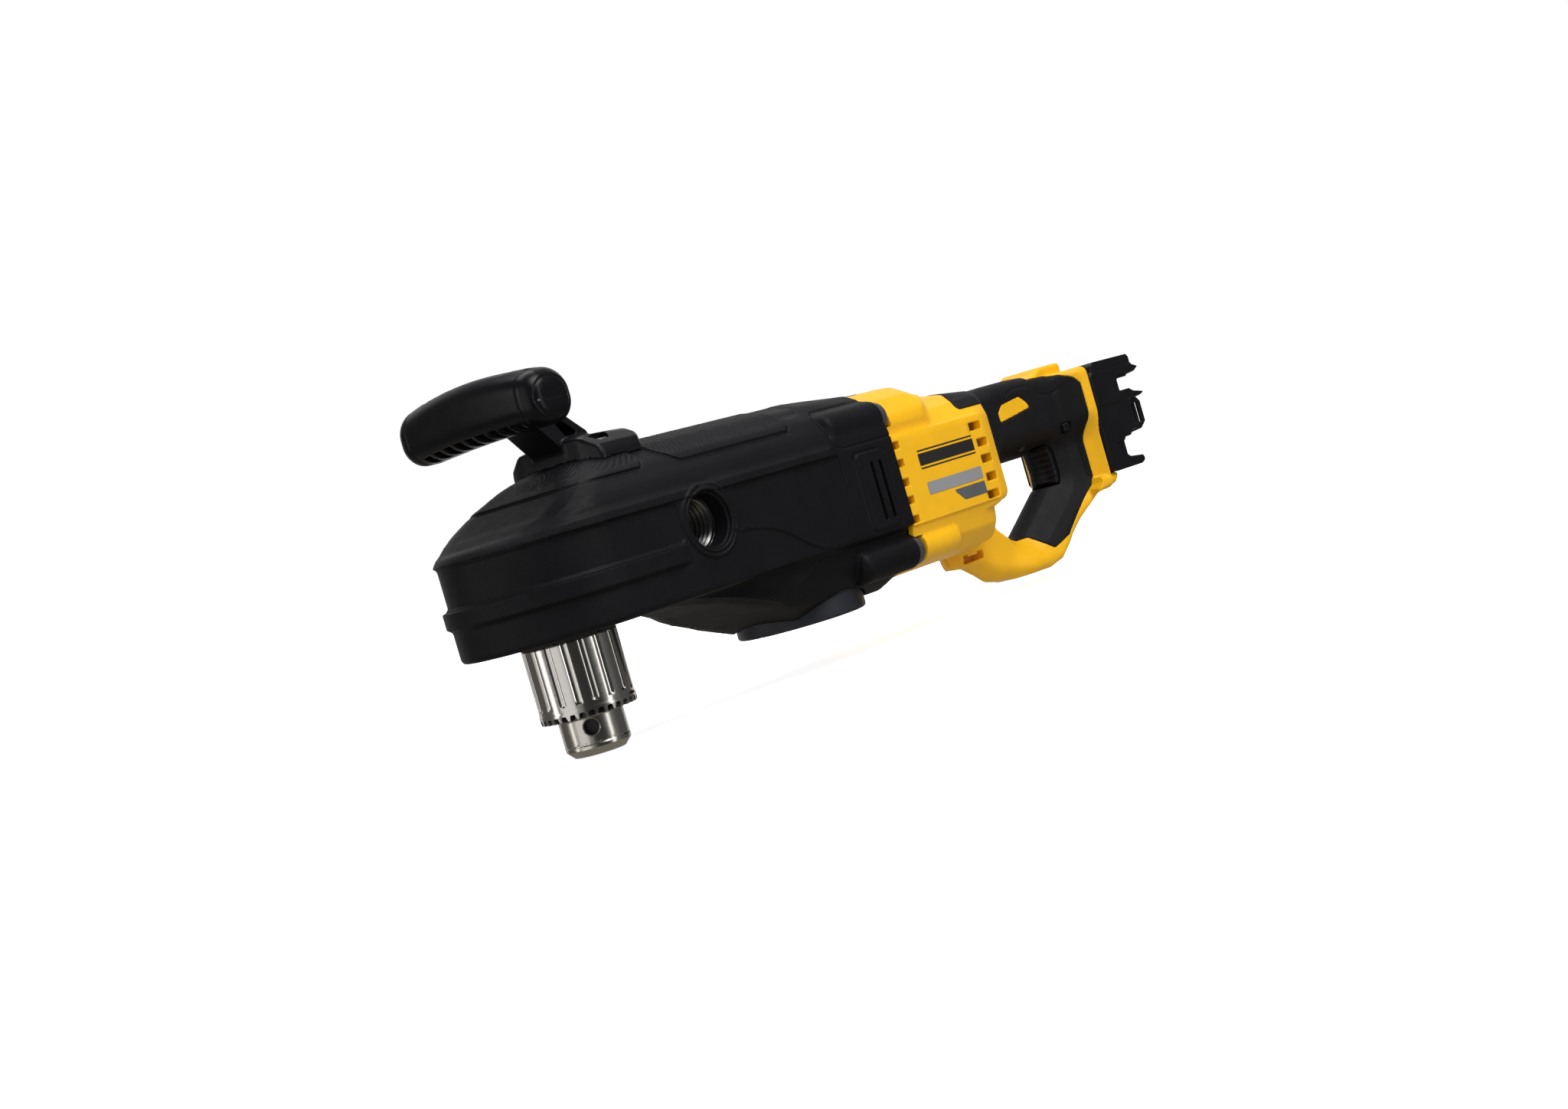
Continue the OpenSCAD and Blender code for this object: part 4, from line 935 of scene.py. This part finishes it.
def trigger(x, y, z):
    ay = np.abs(y)
    side = [(380.5, 48.5), (392.8, 48.5), (392.8, 71.5), (378.6, 71.5), (377.2, 68.5), (377.2, 64),
            (378.4, 58), (378.6, 54), (378.2, 50.5)]
    d = both(rpoly(x, z, side, 0.9), ay - 9, 1.0)
    face = 377.2 + ay ** 2 / 38.0 + np.interp(z, [48, 52, 57, 63, 72], [0.8, 0.9, 1.6, 0.9, -0.4])
    d = both(d, (face - x) * 0.85, 0.8)
    for z0 in np.arange(52.5, 70, 3.4):
        d = cut(d, np.maximum(np.abs(z - z0) - 0.4, x - face - 0.45), 0.25)
    return d


def direction_button(x, y, z):
    ay = np.abs(y)
    d = both(rbox(x, z, 386, 392, 75.5, 80.5, 1.0), ay - 19.7, 0.8)
    for k in (-1.3, 0, 1.3):
        d = cut(d, np.maximum(np.abs(x - 389 - k) - 0.3, 19.35 - ay), 0.15)
    return d


settle(skin("receiver_plate", receiver, (405, -33, 44), (459, 33, 111), 0.55, NYLON), "tool",
       ["pack_receiver"])
settle(skin("terminal_holder", terminals, (416.5, -26, 60.5), (463, 26, 87.5), 0.5, NYLON), "tool",
       ["terminal_block"])
settle(skin("trigger_paddle", trigger, (376, -10, 47), (394, 10, 73), 0.45, NYLON), "trigger",
       ["trigger"])
settle(skin("direction_slider", direction_button, (385, -21.5, 74.5), (393, 21.5, 81.5), 0.3, NYLON),
       "direction_button", ["direction_button"])

# ---------------------------------------------------------------- blank labels


def plate(name, outline, y0, y1, r, material, gaps):
    """A flat prism with rounded corners and a fine bevel, standing across Y."""
    low = min(p[0] for p in outline) - 0.5, y0 - 0.3, min(p[1] for p in outline) - 0.5
    high = max(p[0] for p in outline) + 0.5, y1 + 0.3, max(p[1] for p in outline) + 0.5

    def f(x, y, z):
        flat = rpoly(x, z, ccw(outline), r)
        for v in gaps:  # split into bars
            flat = np.maximum(flat, 0.4 - np.abs(z - v))
        return both(flat, np.abs(y - (y0 + y1) / 2) - (y1 - y0) / 2, 0.12)

    return skin(name, f, low, high, 0.3, material)


def plate_pair(name, outline, r, material, gaps=()):
    for side, word in SIDES.items():
        ys = (46.62, 46.95) if side > 0 else (-46.95, -46.62)
        settle(plate(name + "_plate_" + word, outline, *ys, r, material, gaps), "tool",
               [name + "_" + word])


plate_pair("badge", [(218, 79.5), (265, 79.5), (265, 89.5), (218, 89.5)], 0.5, BADGE,
           gaps=(80.9, 88.1))
plate_pair("label", [(219, 66), (265.5, 66), (265.5, 72.6), (219, 72.6)], 0.8, PALE)
plate_pair("tag", [(246, 58.2), (265.5, 58.2), (265.5, 64.9), (238.5, 64.9)], 0.8, GREY)


def top_tag(x, y, z):
    shell = collar(x, y, z)
    return both(both(shell - 0.45, -(shell + 0.6)), rbox(x, y, 203, 217.5, -21, 21, 2), 0.15)


settle(skin("top_tag_plate", top_tag, (201, -23, 112), (219, 23, 129), 0.4, GREY), "tool", ["top_tag"])

# ---------------------------------------------------------------- what stays as the CAD drew it

KEPT = {
    ALLOY: ["gear_case"],
    DARK_STEEL: ["nose_plate", "chuck_screw", "housing_screws"],
    BLADE: ["terminal_blades"],
    BOARD: ["control_module"],
    NYLON: ["trigger_switch", "motor_fan"],
    WIRE: ["motor_leads"],
    CORE: ["stator_core", "rotor_core"],
    COPPER: ["stator_coils"],
    MAGNET: ["rotor_magnets"],
    GEAR: ["motor_front_bearing", "motor_rear_bearing", "counter_bearings", "layshaft_bearings",
           "spindle_lower_bearing", "spindle_upper_bearing", "rotor_shaft", "counter_shaft", "layshaft",
           "spindle", "face_gear", "chuck_nut", "jaw_a", "jaw_b", "jaw_c"],
    TURNED: ["chuck_hub"],
}
for finish, names in KEPT.items():
    for name in names:
        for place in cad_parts[name].material_slots:
            place.material = finish

# ---------------------------------------------------------------- stage, light, camera

RAYS = ("camera", "diffuse", "glossy", "transmission", "volume_scatter", "shadow")
REACH = 2600  # of the screens that only reflections see
BACKDROP_R = 8900
BACKDROP_GLOW = 1.02


def plain(name, colour, glow, light=(1, 1, 1)):
    """A dull paint that glows in the colour of its light."""
    m = bpy.data.materials.new(name)
    m.use_nodes = True
    p = m.node_tree.nodes["Principled BSDF"]
    p.inputs["Base Color"].default_value = (*colour, 1)
    p.inputs["Roughness"].default_value = 0.9
    p.inputs["Specular IOR Level"].default_value = 0.0
    p.inputs["Emission Color"].default_value = (*light, 1)
    p.inputs["Emission Strength"].default_value = glow
    return m


def seen_by(ob, *rays):
    """Leaves a stage piece visible to these rays only."""
    for ray in RAYS:
        setattr(ob, "visible_" + ray, ray in rays)
    return ob


def disc(name, r, z, m):
    ring = [(r * math.cos(a), r * math.sin(a), z) for a in np.linspace(0, 2 * math.pi, 97)[:-1]]
    return new_object(name, ring, [range(96)], m)


ELEV, TURN, ROLL = math.radians(1.9), math.radians(47.5), math.radians(16.1)
EYE = Vector((-687.7, -770.2, 96.0)) * MM
right = Vector((math.cos(TURN), -math.sin(TURN), 0))
ahead = Vector((math.sin(TURN) * math.cos(ELEV), math.cos(TURN) * math.cos(ELEV), -math.sin(ELEV)))
down = ahead.cross(right)

floor = disc("floor", 9000, -0.6, plain("floor_paint", (0.86, 0.86, 0.87), 0.84))
# the floor glows more away from the tool, so that it runs into the backdrop without a line
tree = floor.data.materials[0].node_tree
distance = tree.nodes.new("ShaderNodeVectorMath")
distance.operation = "LENGTH"
tree.links.new(tree.nodes.new("ShaderNodeTexCoord").outputs["Object"], distance.inputs[0])
glow = tree.nodes.new("ShaderNodeMapRange")
for socket, value in (("From Min", 0.5), ("From Max", 2.2), ("To Min", 0.84), ("To Max", BACKDROP_GLOW)):
    glow.inputs[socket].default_value = value
tree.links.new(distance.outputs["Value"], glow.inputs["Value"])
tree.links.new(glow.outputs["Result"], tree.nodes["Principled BSDF"].inputs["Emission Strength"])
seen_by(floor, "camera", "transmission", "volume_scatter", "shadow")
dome_v, dome_f = [], []
for i, el in enumerate(np.radians(np.linspace(-4, 90, 13))):
    for j in range(48):
        a = math.tau * j / 48
        dome_v.append((BACKDROP_R * math.cos(el) * math.cos(a), BACKDROP_R * math.cos(el) * math.sin(a),
                       BACKDROP_R * math.sin(el)))
        if i:
            k, n = i * 48, (j + 1) % 48
            dome_f.append((k + j, k + n, k - 48 + n, k - 48 + j))
dome = new_object("backdrop", dome_v, dome_f, plain("backdrop_paint", (0, 0, 0), BACKDROP_GLOW))
seen_by(dome, "camera")


def screen(name, a0, a1, glow, light=(1, 1, 1), near=1.0):
    """A bent screen that only reflections see, between two bearings from the camera's right."""
    v, f = [], []
    for i, a in enumerate(np.radians(np.linspace(a0, a1, 7))):
        way = math.cos(a) * right - math.sin(a) * ahead
        for z in (-900, 2400):
            v.append(((way.x * REACH + 180) * near, way.y * REACH * near, z))
        if i:
            f.append((2 * i - 2, 2 * i - 1, 2 * i + 1, 2 * i))
    paint = plain(name + "_paint", (0, 0, 0), glow, light)
    return seen_by(new_object(name, v, f, paint, flat=True), "glossy")


under = disc("screen_under", 2400, -1200, plain("screen_under_paint", (0, 0, 0), 0.3, (1, 0.93, 0.8)))
bounce = disc("floor_bounce", 2400, -0.9, plain("floor_bounce_paint", (0.3, 0.3, 0.3), 0.42))
screens = [
    screen("screen_behind_right", -92, -56, 0.8),
    screen("screen_right", -52, 0, 0.12),
    screen("screen_near_right", 3, 47, 0.2),
    screen("screen_strip", 28, 33, 1.1, near=2500 / REACH),
    screen("screen_near", 50, 96, 0.05),
    screen("screen_near_left", 99, 112, 0.35),
    screen("screen_bright", 113, 148, 1.2),
    screen("screen_left", 153, 214, 0.15, light=(1, 0.93, 0.86)),
    screen("screen_behind_left", 218, 262, 0.7),
    seen_by(under, "glossy"),
    seen_by(bounce, "diffuse"),
]

world = bpy.data.worlds.new("room")
world.use_nodes = True
sky = world.node_tree.nodes["Background"].inputs
sky["Color"].default_value = (0.9, 0.93, 1.0, 1)
sky["Strength"].default_value = 0.12
bpy.context.scene.world = world
bpy.context.scene.view_settings.view_transform = "Standard"

image_right = math.cos(ROLL) * right + math.sin(ROLL) * down
image_down = -math.sin(ROLL) * right + math.cos(ROLL) * down
cam_data = bpy.data.cameras.new("camera")
cam = bpy.data.objects.new("camera", cam_data)
bpy.context.scene.collection.objects.link(cam)
cam_data.sensor_width = 36
cam_data.lens = 36 * 3000 / 2048
cam_data.clip_start, cam_data.clip_end = 0.01, 100
turn = Matrix((image_right, -image_down, -ahead)).transposed().to_4x4()
cam.matrix_world = Matrix.Translation(EYE) @ turn
bpy.context.scene.camera = cam


def softbox(name, offset, size, power):
    """A soft lamp at offset = (right, up, towards the camera) metres from the tool's middle."""
    data = bpy.data.lights.new(name, "AREA")
    data.shape, data.size, data.size_y = "RECTANGLE", size[0], size[1]
    data.energy = power
    lamp = bpy.data.objects.new(name, data)
    bpy.context.scene.collection.objects.link(lamp)
    middle = Vector((0.2, 0.0, 0.08))
    at = middle + offset[0] * right + offset[1] * Vector((0, 0, 1)) - offset[2] * ahead
    lamp.location = at
    lamp.rotation_mode = "QUATERNION"
    lamp.rotation_quaternion = (middle - at).to_track_quat("-Z", "Y")
    return lamp


softbox("key", (0.9, 1.5, 0.7), (1.1, 0.9), 28)
softbox("top", (-0.3, 1.9, -0.5), (1.6, 0.8), 17)
softbox("strip_left", (-1.4, 0.3, 0.5), (0.28, 1.2), 3.2)
softbox("strip_right", (1.3, 0.25, 0.9), (0.22, 1.2), 3.4)
softbox("front", (-0.35, 0.5, 1.9), (0.5, 1.0), 8).visible_glossy = False
